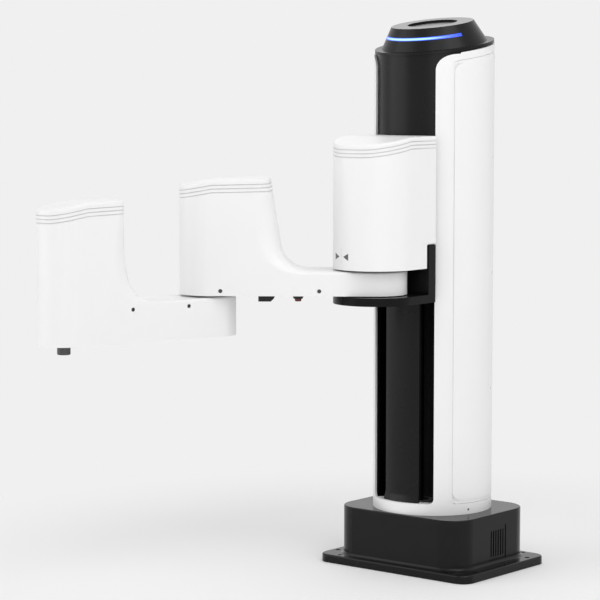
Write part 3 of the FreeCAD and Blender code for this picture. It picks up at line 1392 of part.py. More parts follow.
tray_half = S.arm_radius - S.case_wall - S.fit_gap
tray_low = S.arm_low + S.fit_gap
tray_top = tray_low + S.frame_thick
floor_top = tray_low + S.frame_floor
tray = stadium(tray_half, ZERO, S.arm_reach, (tray_low, tray_top))
tray_hollow = stadium(tray_half - S.frame_rim, ZERO, S.arm_reach, (floor_top, tray_top + 1))
pivot_boss = cylinder(tray_half, (tray_low, tray_top))
elbow_boss = cylinder(S.elbow_hub, (tray_low, tray_top), S.arm_reach)
through_tray = (tray_low - 1, tray_top + 1)
pivot_bore = cylinder(S.pivot_radius, through_tray)
elbow_race_low = floor_top - 1
elbow_bore = cylinder(S.race_low, (elbow_race_low, tray_top + 1), S.arm_reach)
elbow_way = cylinder(S.race_low - S.bearing_lip, through_tray, S.arm_reach)
arm_screw_spots = (S.arm_screw_first, S.arm_screw_second)
screw_start = S.arm_radius - S.fit_gap
arm_pins = mirrored_pins(S.casing_screw, S.casing_screw_long, screw_start, arm_screw_spots, S.arm_screw_high)
plug_near = S.plug_at - S.plug_long / 2
plug_far = S.plug_at + S.plug_long / 2
stud_low = S.arm_low - S.plug_drop
button_way = cylinder(S.bezel_radius + S.fit_gap, through_tray, S.button_at)
frame = cut(fuse(cut(tray, tray_hollow), pivot_boss, elbow_boss), pivot_bore, elbow_bore, elbow_way,
            button_way, *mirrored_pins(S.casing_screw, S.casing_screw_long, screw_start,
                                       arm_screw_spots, S.arm_screw_high))
on_rear_arm(frame, "rear_arm_frame")
on_rear_arm(group(*arm_pins), "rear_arm_screws")

pivot_top = S.arm_top + S.free_gap * 2
pivot = revolved("Pivot", [(ZERO, disc_top - S.race_thick), (S.journal_low - S.run_fit, disc_top - S.race_thick),
                           (S.journal_low - S.run_fit, tray_low), (S.pivot_radius, tray_low),
                           (S.pivot_radius, pivot_top), (S.journal_high - S.run_fit, pivot_top),
                           (S.journal_high - S.run_fit, shaft_top), (ZERO, shaft_top)])
on_rear_arm(pivot, "shoulder_shaft")


def on_elbow(thing, label):
    """A rear arm piece drawn about the elbow axis."""
    return keep(turn_with(thing, S.shoulder_turn, ELBOW_X, ELBOW_Y), label)


def motor_body(name, side, low, high):
    """A square motor with rounded upright corners, drawn about its own axis."""
    return rounded_block(name, side / 2, side / 2, side / 10, (low, as_size(low) + high))


on_elbow(ring("ElbowBearing", S.journal_low, S.race_low, (elbow_race_low, tray_top)), "elbow_bearing")
elbow_shaft_top = tray_top + S.race_thick
shaft_room = cylinder(S.journal_low + S.free_gap, (tray_top - 1, elbow_shaft_top + S.free_gap))
crown_top = tray_top + S.elbow_reducer_high
on_elbow(cut(cylinder(S.elbow_reducer, (tray_top, crown_top)), shaft_room), "elbow_reducer")
on_elbow(motor_body("ElbowMotor", S.elbow_motor_side, crown_top, S.elbow_motor_high), "elbow_motor")

plug = prism("Plug", "XZ_Plane",
             [(plug_near, tray_low), (plug_near, stud_low + S.plug_bevel), (plug_near + S.plug_bevel, stud_low),
              (plug_far, stud_low), (plug_far, tray_low)], -S.plug_wide / 2, S.plug_wide / 2)
plug_wall = S.panel_thick
plug_mouth = box((plug_near + S.plug_bevel + plug_wall, plug_far - plug_wall),
                 (-S.plug_wide / 2 + plug_wall * 2, S.plug_wide / 2 - plug_wall * 2),
                 (stud_low - 1, stud_low + S.plug_drop - plug_wall * 2))
on_rear_arm(cut(plug, plug_mouth), "underside_socket")
button_bore = S.button_radius + S.free_gap
collar_radius = S.button_radius + S.button_collar
room_radius = collar_radius + S.free_gap
room_low = tray_low - S.button_collar
collar_low = room_low + S.free_gap
room_top = collar_low + S.button_collar + S.button_travel * 2
bezel_low = tray_low - S.bezel_drop
bezel = revolved("Bezel", [(button_bore, bezel_low), (S.bezel_tip, bezel_low), (S.bezel_radius, tray_low),
                           (S.bezel_radius, tray_top), (ZERO, tray_top), (ZERO, room_top),
                           (room_radius, room_top), (room_radius, room_low), (button_bore, room_low)])
move_to(bezel, S.button_at)
on_rear_arm(group(bezel), "button_bezel")
button = revolved("Button", [(ZERO, S.button_tip), (S.button_radius - soft, S.button_tip),
                             (S.button_radius, S.button_tip + soft), (S.button_radius, collar_low),
                             (collar_radius, collar_low), (collar_radius, collar_low + S.button_collar),
                             (ZERO, collar_low + S.button_collar)])
move_to(button, S.button_at)
on_rear_arm(group(button), "push_button")

# Forearm inside its casing, and the tool shaft

plate_half = S.fore_radius - S.case_wall - S.fit_gap
plate_top = S.fore_top - S.case_wall - S.fit_gap
plate_low = plate_top - S.frame_thick
plate_floor = plate_top - S.frame_floor
lid_low = S.fore_low + S.fit_gap
lid_top = lid_low + S.fore_cover_thick
fore_plate = stadium(plate_half, ZERO, S.fore_reach, (plate_low, plate_top))
fore_hollow = stadium(plate_half - S.frame_rim, ZERO, S.fore_reach, (plate_low - 1, plate_floor))
elbow_seat = cylinder(S.race_low, (plate_low, plate_top))
tool_hub = cylinder(S.tool_hub, (lid_top, plate_top), S.fore_reach)
low_pocket = cylinder(S.tool_race, (lid_top - 1, lid_top + S.tool_race_thick), S.fore_reach)
high_pocket = cylinder(S.tool_race, (plate_top - S.tool_race_thick, plate_top + 1), S.fore_reach)
tool_way = cylinder(S.tool_race - S.bearing_lip, (lid_top - 1, plate_top + 1), S.fore_reach)
fore_start = S.fore_radius - S.fit_gap
fore_spots = (S.fore_screw_first, S.fore_screw_second)
stands = [cylinder(S.boss_radius, (lid_top, plate_floor), x) for x in (ZERO, S.fore_reach / 2)]
fore_frame = cut(fuse(cut(fore_plate, fore_hollow), elbow_seat, tool_hub, *stands),
                 low_pocket, high_pocket, tool_way,
                 *mirrored_pins(S.casing_screw, S.casing_screw_long, fore_start, fore_spots,
                                S.fore_screw_high))
on_forearm(fore_frame, "forearm_frame")
on_forearm(group(*mirrored_pins(S.casing_screw, S.casing_screw_long, fore_start, fore_spots,
                                S.fore_screw_high)), "forearm_screws")
tool_gap = S.tool_journal + S.free_gap
lid = cut(stadium(plate_half, ZERO, S.fore_reach, (lid_low, lid_top)),
          cylinder(tool_gap, (lid_low - 1, lid_top + 1), S.fore_reach))
on_forearm(lid, "forearm_bottom_cover")
elbow_flange_top = S.arm_low - S.free_gap
elbow_pivot = revolved("ElbowPivot", [(ZERO, plate_top), (S.race_low, plate_top),
                                      (S.race_low, elbow_flange_top),
                                      (S.journal_low - S.run_fit, elbow_flange_top),
                                      (S.journal_low - S.run_fit, elbow_shaft_top), (ZERO, elbow_shaft_top)])
on_forearm(elbow_pivot, "elbow_shaft")

TOOL_X = ELBOW_X + S.fore_reach * cosine(FORE_TURN)
TOOL_Y = ELBOW_Y + S.fore_reach * sine(FORE_TURN)


def on_tool(thing, label):
    """A piece drawn about the tool axis."""
    return keep(turn_with(thing, FORE_TURN, TOOL_X, TOOL_Y), label)


tool_races = [ring("ToolBearing", S.tool_journal + S.run_fit, S.tool_race, z)
              for z in ((lid_top, lid_top + S.tool_race_thick), (plate_top - S.tool_race_thick, plate_top))]
on_tool(group(*tool_races), "tool_bearings")
tip_radius = S.tool_journal / 2
end_top = S.fore_low - S.free_gap
tip_top = plate_top + S.tool_race_thick
tool_room = cylinder(tip_radius + S.free_gap, (plate_top - 1, tip_top + S.free_gap))
on_tool(cut(motor_body("ToolMotor", S.tool_motor_side, plate_top, S.tool_motor_high), tool_room), "tool_motor")
bore_top = S.tool_tip + S.tool_bore_deep
tool = revolved("Tool", [(S.tool_bore, S.tool_tip), (S.tool_radius - soft, S.tool_tip),
                         (S.tool_radius, S.tool_tip + soft), (S.tool_radius, end_top),
                         (S.tool_journal, end_top), (S.tool_journal, plate_top - S.free_gap),
                         (tip_radius, plate_top - S.free_gap), (tip_radius, tip_top), (ZERO, tip_top),
                         (ZERO, bore_top), (S.tool_bore, bore_top)])
on_tool(tool, "tool_shaft")

# Check every piece and write it

doc.recompute()
for thing in doc.Objects:
    for word in ("Invalid", "Error"):
        if word in thing.State:
            raise RuntimeError("%s (%s) is %s" % (thing.Name, thing.Label, word))
os.makedirs("parts", exist_ok=True)
for thing in NODES:
    if thing.Shape.isNull() or not thing.Shape.isValid():
        raise RuntimeError(thing.Label + " has no valid shape")
    thing.Shape.exportStep("parts/%s.step" % thing.Label)
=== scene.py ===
"""Looks of the column-mounted SCARA robot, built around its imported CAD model.

The file is laid out as an add-on: its sizes and colours are properties, and each group of
pieces has an operator of its own. Run as a script, it makes the whole scene.
Lengths are metres. Places and sizes that come from the CAD are read from the frame.
"""

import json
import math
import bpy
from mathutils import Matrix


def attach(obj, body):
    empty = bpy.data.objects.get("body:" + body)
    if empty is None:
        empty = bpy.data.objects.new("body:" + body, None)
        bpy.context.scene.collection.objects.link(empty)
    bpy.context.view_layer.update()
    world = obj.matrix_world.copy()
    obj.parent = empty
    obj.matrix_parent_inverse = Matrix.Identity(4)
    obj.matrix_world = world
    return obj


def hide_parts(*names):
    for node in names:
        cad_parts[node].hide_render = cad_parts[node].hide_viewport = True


bl_info = {
    "name": "SCARA robot looks",
    "version": (1, 1, 0),
    "blender": (4, 5, 0),
    "location": "3D View > Sidebar > Robot",
    "description": "Finishes, small parts and a studio for a column-mounted SCARA robot",
    "category": "Object",
}

import bmesh
import bpy
import numpy
from bpy.props import FloatProperty, FloatVectorProperty, IntProperty, PointerProperty
from mathutils import Vector

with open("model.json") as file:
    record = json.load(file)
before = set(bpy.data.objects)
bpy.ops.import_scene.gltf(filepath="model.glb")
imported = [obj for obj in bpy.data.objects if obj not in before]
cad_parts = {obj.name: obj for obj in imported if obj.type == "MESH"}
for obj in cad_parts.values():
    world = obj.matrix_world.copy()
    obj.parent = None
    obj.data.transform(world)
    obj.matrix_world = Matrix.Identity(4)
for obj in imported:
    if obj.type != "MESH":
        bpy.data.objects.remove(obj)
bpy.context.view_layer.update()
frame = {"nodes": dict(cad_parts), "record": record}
MM = 0.001

# The cap leans forward about a point on the column's axis
CAP_TILT = math.radians(9)
CAP_PIVOT = Vector((0, 0, 643.3 * MM))
CAP_UP = Vector((math.sin(CAP_TILT), 0, math.cos(CAP_TILT)))
CAP_FORWARD = Vector((math.cos(CAP_TILT), 0, -math.sin(CAP_TILT)))
CAP_RISE = 29 * MM
DISH_DEPTH = 3.5 * MM

# A bend at least this sharp, between faces narrower than this, is the bottom of a groove, where painted
# shade goes
GROOVE_BEND = math.radians(40)
GROOVE_WIDTH = 1.6 * MM

# The printed mark on the carriage casing, measured along its front and up from the floor
MARK_RADIUS = 52 * MM
MARK_TURN = math.radians(-15)
MARK_LINE = (385 * MM, 404 * MM)
MARK_LINE_HALF_WIDTH = 0.45 * MM
MARK_LINE_STRENGTH = 0.16
MARK_LEVEL = 393.5 * MM
MARK_ARROWS = ((-4.0 * MM, -14.5 * MM), (3.2 * MM, 11.8 * MM))
MARK_ARROW_HALF_HEIGHT = 4.3 * MM

SIGNAL_PIN_LENGTH = 11 * MM
NETWORK_SPRING_LENGTH = 9 * MM
UNDERSIDE_STUD_LENGTH = 4 * MM

# Screw sizes as shares of the head's radius
HEAD_DEPTH_SHARE = 1.1
SHANK_SHARE = 0.62

# Softboxes: name, property with the power, turn and rise in degrees, width and height
SOFTBOXES = (
    ("key_softbox", "key_light", -42, 20, 1.8, 2.0),
    ("front_softbox", "front_light", 50, 30, 1.6, 2.0),
    ("side_softbox", "side_light", 88, 50, 1.0, 1.6),
    ("back_softbox", "back_light", 216, 45, 1.6, 1.6),
)
SOFTBOX_DISTANCE = 2.2
SOFTBOX_TARGET = Vector((0.12, -0.02, 0.35))

FLOOR_RADIUS = 30.0
FLOOR_DROP = 0.5 * MM
# The floor's shadow is whole up to the first distance and gone at the second
SHADOW_REACH = (0.30, 0.75)

RECORD = frame["record"]
BODY_OF = {node: body for body, nodes in RECORD["behaviour"]["bodies"].items() for node in nodes}
SLOT_OF = {entry["node"]: entry["material_slot"] for entry in RECORD["subparts"]}
AXIS_OF = {joint["name"]: Vector(joint["pos_m"]) for joint in RECORD["behaviour"]["joints"]
           if "pos_m" in joint}
SOCKETS = {opening["name"]: [Vector(corner) for corner in opening["box_m"]]
           for opening in RECORD["physics"]["openings"]}


# Sizes and colours that a user would change

class RobotFinishes(bpy.types.PropertyGroup):
    shell_white: FloatVectorProperty(
        name="Shell white", description="Colour of the moulded white casings",
        subtype="COLOR", size=3, min=0, max=1, default=(0.86, 0.86, 0.86))
    shell_roughness: FloatProperty(
        name="Shell roughness", description="Roughness of the moulded white casings",
        subtype="FACTOR", min=0, max=1, default=0.38)
    mark_grey: FloatVectorProperty(
        name="Mark grey", description="Colour of the printed alignment mark",
        subtype="COLOR", size=3, min=0, max=1, default=(0.10, 0.10, 0.105))
    coat_black: FloatVectorProperty(
        name="Coating black", description="Colour of the coating on the base casting",
        subtype="COLOR", size=3, min=0, max=1, default=(0.007, 0.007, 0.0073))
    coat_roughness: FloatProperty(
        name="Coating roughness", description="Roughness of the coating on the base casting",
        subtype="FACTOR", min=0, max=1, default=0.19)
    gloss_black: FloatVectorProperty(
        name="Gloss black", description="Colour of the black moulded covers on the column",
        subtype="COLOR", size=3, min=0, max=1, default=(0.006, 0.006, 0.0063))
    gloss_roughness: FloatProperty(
        name="Gloss roughness", description="Roughness of the black moulded covers",
        subtype="FACTOR", min=0, max=1, default=0.28)
    # Painted reflection: grey laid on the cap's top ring and dish, in place of the pale reflection there
    painted_reflection_grey: FloatVectorProperty(
        name="Crown grey", description="Colour of the satin ring and dish on top of the cap",
        subtype="COLOR", size=3, min=0, max=1, default=(0.24, 0.24, 0.24))
    # Painted shade: darkens the colour at the bottoms of narrow grooves, in place of the shade that falls
    # there
    painted_shade_in_grooves: FloatProperty(
        name="Groove shade", description="How much darker the bottoms of narrow grooves are",
        subtype="FACTOR", min=0, max=1, default=0.28)
    black_reflection: FloatProperty(
        name="Black reflection",
        description="Strength of reflections on the black covers seen face on",
        subtype="FACTOR", min=0, max=1, default=0.18)
    light_core: FloatVectorProperty(
        name="Light core", description="Colour along the middle of the light strip",
        subtype="COLOR", size=3, min=0, max=1, default=(0.30, 0.52, 1.0))
    light_edge: FloatVectorProperty(
        name="Light edge", description="Colour at the edges of the light strip",
        subtype="COLOR", size=3, min=0, max=1, default=(0.010, 0.055, 0.60))


class RobotFasteners(bpy.types.PropertyGroup):
    head_gap: FloatProperty(
        name="Head gap", description="Clearance of a screw head in its hole",
        subtype="DISTANCE", unit="LENGTH", min=0, default=0.00015)
    head_sunk: FloatProperty(
        name="Head sunk", description="Depth of a screw head below the end of its hole",
        subtype="DISTANCE", unit="LENGTH", min=0, default=0.0007)
    head_chamfer: FloatProperty(
        name="Head chamfer", description="Chamfer round a screw head",
        subtype="DISTANCE", unit="LENGTH", min=0, default=0.0003)
    key_share: FloatProperty(
        name="Key share", description="Hexagon recess as a share of the head's width",
        subtype="FACTOR", min=0.1, max=0.9, default=0.58)
    contact_pitch: FloatProperty(
        name="Contact pitch", description="Distance between the contacts of a signal socket",
        subtype="DISTANCE", unit="LENGTH", min=0.001, default=0.00254)
    contact_width: FloatProperty(
        name="Contact width", description="Side of a square contact pin",
        subtype="DISTANCE", unit="LENGTH", min=0.0001, default=0.00064)
    network_contacts: IntProperty(
        name="Network contacts", description="Number of contacts in a network socket",
        min=2, default=8)


class RobotStage(bpy.types.PropertyGroup):
    lens: FloatProperty(
        name="Lens", description="Focal length on a 36 mm sensor, in millimetres",
        min=10, default=143.56)
    camera_place: FloatVectorProperty(
        name="Camera place", description="Where the camera stands, from the base's middle",
        subtype="TRANSLATION", unit="LENGTH", size=3, default=(2.388, 1.758, 0.62085))
    camera_heading: FloatProperty(
        name="Camera heading", description="Direction that the camera looks in, from +X toward +Y",
        subtype="ANGLE", default=math.radians(219.56))
    camera_tilt: FloatProperty(
        name="Camera tilt", description="How far the camera looks below level",
        subtype="ANGLE", default=math.radians(5.61))
    backdrop_grey: FloatProperty(
        name="Backdrop grey", description="Brightness of the backdrop as the camera sees it",
        subtype="FACTOR", min=0, max=1, default=0.871)
    shadow_share: FloatProperty(
        name="Shadow share", description="How much of the floor's brightness a full shadow takes away",
        subtype="FACTOR", min=0, max=1, default=0.9)
    floor_white: FloatProperty(
        name="Floor white", description="How white the floor is where the lights reach it, which matches "
        "the backdrop away from the object", subtype="FACTOR", min=0, max=1, default=0.918)
    room_light: FloatProperty(
        name="Room light", description="Brightness of the room around the object", min=0, default=0.52)
    key_light: FloatProperty(
        name="Key light", description="Power of the softbox at the left, in watts",
        min=0, default=15.2)
    front_light: FloatProperty(
        name="Front light", description="Power of the softbox beside the camera, in watts",
        min=0, default=15.1)
    side_light: FloatProperty(
        name="Side light", description="Power of the softbox high at the right, in watts",
        min=0, default=11.5)
    back_light: FloatProperty(
        name="Back light", description="Power of the softbox high behind, in watts",
        min=0, default=6)


# Helpers for node trees

def link_or_set(tree, socket, value):
    if isinstance(value, bpy.types.NodeSocket):
        tree.links.new(value, socket)
    else:
        socket.default_value = value


class Builder:
    """Adds nodes to a tree and feeds their inputs by name."""

    def __init__(self, tree):
        self.tree = tree

    def add(self, kind, settings=(), **inputs):
        node = self.tree.nodes.new(kind)
        for key, value in dict(settings).items():
            setattr(node, key, value)
        for key, value in inputs.items():
            self.feed(node, key.replace("_", " "), value)
        return node

    def feed(self, node, name, value):
        socket = next(item for item in node.inputs if item.name == name and item.enabled)
        link_or_set(self.tree, socket, value)

    def math(self, operation, *values):
        node = self.add("ShaderNodeMath", {"operation": operation})
        for socket, value in zip(node.inputs, values):
            link_or_set(self.tree, socket, value)
        return node.outputs[0]

    def vector(self, operation, *values):
        node = self.add("ShaderNodeVectorMath", {"operation": operation})
        for socket, value in zip(node.inputs, values):
            link_or_set(self.tree, socket, value)
        return node.outputs["Value" if operation in ("DOT_PRODUCT", "LENGTH") else "Vector"]

    def step(self, value, low, high):
        """A smooth rise from 0 at low to 1 at high."""
        node = self.add("ShaderNodeMapRange", {"interpolation_type": "SMOOTHSTEP"}, Value=value,
                        From_Min=low, From_Max=high)
        return node.outputs[0]

    def ramp(self, factor, stops):
        node = self.add("ShaderNodeValToRGB")
        node.color_ramp.interpolation = "EASE"
        elements = node.color_ramp.elements
        while len(elements) < len(stops):
            elements.new(0.5)
        for element, (place, colour) in zip(elements, stops):
            element.position = place
            element.color = (*colour[:3], 1)
        self.tree.links.new(factor, node.inputs[0])
        return node.outputs[0]

    def mix(self, factor, first, second):
        node = self.add("ShaderNodeMix", {"data_type": "RGBA"})
        for index, value in ((0, factor), (6, first), (7, second)):
            if isinstance(value, tuple) and len(value) == 3:
                value = (*value, 1)
            link_or_set(self.tree, node.inputs[index], value)
        return node.outputs[2]

    def use(self, group, **inputs):
        node = self.add("ShaderNodeGroup", {"node_tree": group})
        for key, value in inputs.items():
            self.feed(node, key.replace("_", " "), value)
        return node


def shader_group(name, inputs, outputs):
    """A shader node group with float inputs and outputs."""
    tree = bpy.data.node_groups.new(name, "ShaderNodeTree")
    for label, default in inputs:
        socket = tree.interface.new_socket(label, in_out="INPUT", socket_type="NodeSocketFloat")
        socket.default_value = default
    for label in outputs:
        tree.interface.new_socket(label, in_out="OUTPUT", socket_type="NodeSocketFloat")
    build = Builder(tree)
    return tree, build, build.add("NodeGroupInput"), build.add("NodeGroupOutput")


def grain_group():
    """Fine spark texture of a mould, with a faint mottle in tone and gloss."""
    name = "Moulded grain"
    if name in bpy.data.node_groups:
        return bpy.data.node_groups[name]
    tree, build, source, result = shader_group(
        name, [("Grain scale", 2600.0), ("Mottle scale", 22.0), ("Mottle", 0.02)],
        ["Height", "Tone", "Gloss shift"])
    place = build.add("ShaderNodeTexCoord").outputs["Object"]
    fine = build.add("ShaderNodeTexNoise", Vector=place, Scale=source.outputs["Grain scale"],
                     Detail=2.0)
    cloud = build.add("ShaderNodeTexNoise", Vector=place, Scale=source.outputs["Mottle scale"],
                      Detail=3.0)
    swing = build.math("SUBTRACT", cloud.outputs["Fac"], 0.5)
    build.feed(result, "Height", fine.outputs["Fac"])
    build.feed(result, "Tone", build.math("MULTIPLY_ADD", swing, source.outputs["Mottle"], 1.0))
    build.feed(result, "Gloss shift", build.math("MULTIPLY", swing, 0.1))
    return tree


def dust_group():
    """A mask of fine dust that gathers on faces that look up."""
    name = "Settled dust"
    if name in bpy.data.node_groups:
        return bpy.data.node_groups[name]
    tree, build, source, result = shader_group(name, [("Amount", 0.05), ("Speck scale", 900.0)], ["Mask"])
    place = build.add("ShaderNodeTexCoord")
    split = build.add("ShaderNodeSeparateXYZ", Vector=place.outputs["Normal"])
    upward = build.math("MAXIMUM", split.outputs["Z"], 0.0)
    speck = build.add("ShaderNodeTexNoise", Vector=place.outputs["Object"],
                      Scale=source.outputs["Speck scale"], Detail=1.0)
    film = build.math("MULTIPLY_ADD", build.math("GREATER_THAN", speck.outputs["Fac"], 0.62), 0.6, 0.4)
    build.feed(result, "Mask", build.math("MULTIPLY", build.math("MULTIPLY", upward, film),
                                          source.outputs["Amount"]))
    return tree


def edge_group():
    """A broken mask along the tight outer edges, from the skin's own edge attribute."""
    name = "Rubbed edges"
    if name in bpy.data.node_groups:
        return bpy.data.node_groups[name]
    tree, build, source, result = shader_group(name, [("Amount", 0.3), ("Break scale", 160.0)], ["Mask"])
    edge = build.add("ShaderNodeAttribute", {"attribute_name": "edge"}).outputs["Fac"]
    place = build.add("ShaderNodeTexCoord").outputs["Object"]
    patch = build.add("ShaderNodeTexNoise", Vector=place, Scale=source.outputs["Break scale"], Detail=4.0)
    broken = build.step(patch.outputs["Fac"], 0.40, 0.62)
    build.feed(result, "Mask", build.math("MULTIPLY", build.math("MULTIPLY", edge, broken),
                                          source.outputs["Amount"]))
    return tree


def groove_bottom_painted_shade_group():
    """Painted shade: a mask of the bottoms of narrow grooves, from the skin's own groove attribute, that
    darkens the colour where shade falls.
    """
    name = "Narrow grooves"
    if name in bpy.data.node_groups:
        return bpy.data.node_groups[name]
    tree, build, source, result = shader_group(name, [("Amount", 0.5)], ["Mask"])
    groove = build.add("ShaderNodeAttribute", {"attribute_name": "groove"}).outputs["Fac"]
    build.feed(result, "Mask", build.math("MULTIPLY", groove, source.outputs["Amount"]))
    return tree


def brushed_group():
    """Fine turning or rolling lines across one direction, as height and gloss."""
    name = "Tool lines"
    if name in bpy.data.node_groups:
        return bpy.data.node_groups[name]
    tree, build, source, result = shader_group(name, [("Line scale", 3000.0)], ["Height", "Gloss shift"])
    place = build.add("ShaderNodeTexCoord").outputs["Object"]
    along = build.vector("MULTIPLY", place, (0.02, 0.02, 1.0))
    lines = build.add("ShaderNodeTexNoise", Vector=along, Scale=source.outputs["Line scale"], Detail=1.0)
    build.feed(result, "Height", lines.outputs["Fac"])
    build.feed(result, "Gloss shift", build.math("MULTIPLY_ADD", lines.outputs["Fac"], 0.16, -0.08))
    return tree


# Finishes

def finishes():
    return bpy.context.scene.robot_finishes


def new_material(name):
    """An empty material with its Principled shader."""
    material = bpy.data.materials.new(name)
    material.use_nodes = True
    material.node_tree.nodes.clear()
    build = Builder(material.node_tree)
    shader = build.add("ShaderNodeBsdfPrincipled")
    output = build.add("ShaderNodeOutputMaterial")
    material.node_tree.links.new(shader.outputs[0], output.inputs["Surface"])
    return material, build, shader


def moulded(name, colour, roughness, grain_scale=2600.0, depth=0.02, mottle=0.02, dust=0.0, rub=0.0,
            groove=0.0, coat=0.0, reflection=0.5, extra=None):
    """Moulded, painted or cast finish: fine grain, mottle, rubbed edges, painted shade at the bottoms of
    grooves, and dust.
    """
    if name in bpy.data.materials:
        return bpy.data.materials[name]
    material, build, shader = new_material(name)
    grain = build.use(grain_group(), Grain_scale=grain_scale, Mottle=mottle)
    tone = build.add("ShaderNodeVectorMath", {"operation": "SCALE"}, Scale=grain.outputs["Tone"])
    tone.inputs[0].default_value = colour[:3]
    tone = tone.outputs[0]
    gloss = build.math("ADD", grain.outputs["Gloss shift"], roughness)
    if rub > 0:
        mask = build.use(edge_group(), Amount=rub).outputs["Mask"]
        tone = build.mix(mask, tone, tuple(min(1.0, part * 2.2 + 0.05) for part in colour[:3]))
        gloss = build.math("MULTIPLY_ADD", mask, -0.08, gloss)
    # Painted shade: the bottoms of narrow grooves are mixed toward a quarter of the colour
    if groove > 0:
        mask = build.use(groove_bottom_painted_shade_group(), Amount=groove).outputs["Mask"]
        tone = build.mix(mask, tone, tuple(part * 0.25 for part in colour[:3]))
    if dust > 0:
        mask = build.use(dust_group(), Amount=dust).outputs["Mask"]
        tone = build.mix(mask, tone, (0.35, 0.34, 0.32))
    if extra is not None:
        tone, gloss = extra(build, tone, gloss)
    build.feed(shader, "Base Color", tone)
    build.feed(shader, "Roughness", gloss)
    bump = build.add("ShaderNodeBump", Strength=0.25, Distance=depth * MM, Height=grain.outputs["Height"])
    build.feed(shader, "Normal", bump.outputs[0])
    shader.inputs["Coat Weight"].default_value = coat
    shader.inputs["Coat Roughness"].default_value = 0.08
    shader.inputs["Specular IOR Level"].default_value = reflection
    return material


def machined(name, colour, roughness, depth=0.006, metallic=1.0):
    """Turned, ground or rolled metal with fine tool lines."""
    if name in bpy.data.materials:
        return bpy.data.materials[name]
    material, build, shader = new_material(name)
    lines = build.use(brushed_group(), Line_scale=3000.0)
    cloud = build.use(grain_group(), Mottle_scale=60.0, Mottle=0.12)
    tone = build.add("ShaderNodeVectorMath", {"operation": "SCALE"}, Scale=cloud.outputs["Tone"])
    tone.inputs[0].default_value = colour[:3]
    build.feed(shader, "Base Color", tone.outputs[0])
    build.feed(shader, "Roughness", build.math("ADD", lines.outputs["Gloss shift"], roughness))
    bump = build.add("ShaderNodeBump", Strength=0.3, Distance=depth * MM, Height=lines.outputs["Height"])
    build.feed(shader, "Normal", bump.outputs[0])
    shader.inputs["Metallic"].default_value = metallic
    return material


def shell_white():
    look = finishes()
    # The white casings carry painted shade at the bottoms of their grooves
    return moulded("shell_white", look.shell_white, look.shell_roughness, dust=0.02,
                   groove=look.painted_shade_in_grooves)


def coat_black():
    look = finishes()
    return moulded("coat_black", look.coat_black, look.coat_roughness, grain_scale=1800.0,
                   depth=0.03, mottle=0.25, dust=0.012, rub=0.25, reflection=look.black_reflection)


def gloss_black():
    look = finishes()
    return moulded("gloss_black", look.gloss_black, look.gloss_roughness, depth=0.006,
                   mottle=0.15, dust=0.01, reflection=look.black_reflection)


def crowned_black():
    """The cap's gloss black, with a painted reflection: grey mixed onto the ring and dish of its top, on
    faces that look up along the cap's axis.
    """
    look = finishes()

    def paint_top_reflection(build, tone, gloss):
        # Painted reflection: top faces above the dish floor turn grey and slightly rougher
        place = build.add("ShaderNodeTexCoord")
        raised = build.vector("DOT_PRODUCT", build.vector("SUBTRACT", place.outputs["Object"],
                                                          tuple(CAP_PIVOT)), tuple(CAP_UP))
        facing = build.vector("DOT_PRODUCT", place.outputs["Normal"], tuple(CAP_UP))
        floor = CAP_RISE - DISH_DEPTH - 1 * MM
        mask = build.math("MULTIPLY", build.step(raised, floor, floor + 0.3 * MM),
                          build.step(facing, 0.88, 0.96))
        return (build.mix(mask, tone, tuple(look.painted_reflection_grey)),
                build.math("MULTIPLY_ADD", mask, 0.05, gloss))

    return moulded("crowned_black", look.gloss_black, look.gloss_roughness, depth=0.006,
                   mottle=0.15, dust=0.01, reflection=look.black_reflection, extra=paint_top_reflection)


def matt_black():
    return moulded("matt_black", (0.006, 0.006, 0.006), 0.6, mottle=0.2, reflection=0.1)


def satin_black():
    return moulded("satin_black", (0.012, 0.012, 0.0125), 0.38, depth=0.03, mottle=0.2, reflection=0.3)


def anodised_black():
    return moulded("anodised_black", (0.004, 0.004, 0.0042), 0.24, grain_scale=3200.0, depth=0.015,
                   mottle=0.2, rub=0.2, reflection=0.13)


def bare_aluminium():
    return machined("bare_aluminium", (0.66, 0.67, 0.69), 0.34)


def turned_steel():
    return machined("turned_steel", (0.48, 0.48, 0.49), 0.28)


def dark_steel():
    return machined("dark_steel", (0.09, 0.09, 0.092), 0.36, metallic=0.85)


# Painted shade: steel made near black, so that the lift rails and ball screw read as the shade inside the
# window's slots
def oiled_steel():
    return machined("oiled_steel", (0.02, 0.02, 0.021), 0.5, depth=0.002)


def contact_gold():
    return machined("contact_gold", (0.72, 0.52, 0.20), 0.30)


def motor_black():
    return moulded("motor_black", (0.03, 0.03, 0.03), 0.45, depth=0.04, mottle=0.2, coat=0.1)


def button_red():
    return moulded("button_red", (0.13, 0.010, 0.012), 0.32, depth=0.02, coat=0.2)


def belt_rubber():
    return moulded("belt_rubber", (0.02, 0.02, 0.02), 0.75, depth=0.05)


def board_green():
    return moulded("board_green", (0.02, 0.11, 0.05), 0.4, depth=0.02, coat=0.4)


MATERIAL_OF_SLOT = {
    "black_casting": coat_black,
    "black_sheet": satin_black,
    "black_aluminium": anodised_black,
    "black_plastic": satin_black,
    "black_gloss": gloss_black,
    "white_plastic": shell_white,
    "red_plastic": button_red,
    "steel": turned_steel,
    "black_steel": dark_steel,
    "bare_aluminium": bare_aluminium,
    "drive_metal": motor_black,
    "board": board_green,
    "belt_rubber": belt_rubber,
}


# Helpers for meshes

def link(name, mesh):
    piece = bpy.data.objects.new(name, mesh)
    bpy.context.scene.collection.objects.link(piece)
    return piece


def merged(node):
    """Corner places and faces of a CAD node's mesh, with its loose triangles joined."""
    work = bmesh.new()
    work.from_mesh(frame["nodes"][node].data)
    bmesh.ops.remove_doubles(work, verts=work.verts, dist=1e-6)
    work.verts.index_update()
    spots = numpy.array([tuple(vert.co) for vert in work.verts])
    faces = [[vert.index for vert in face.verts] for face in work.faces]
    work.free()
    return spots, faces


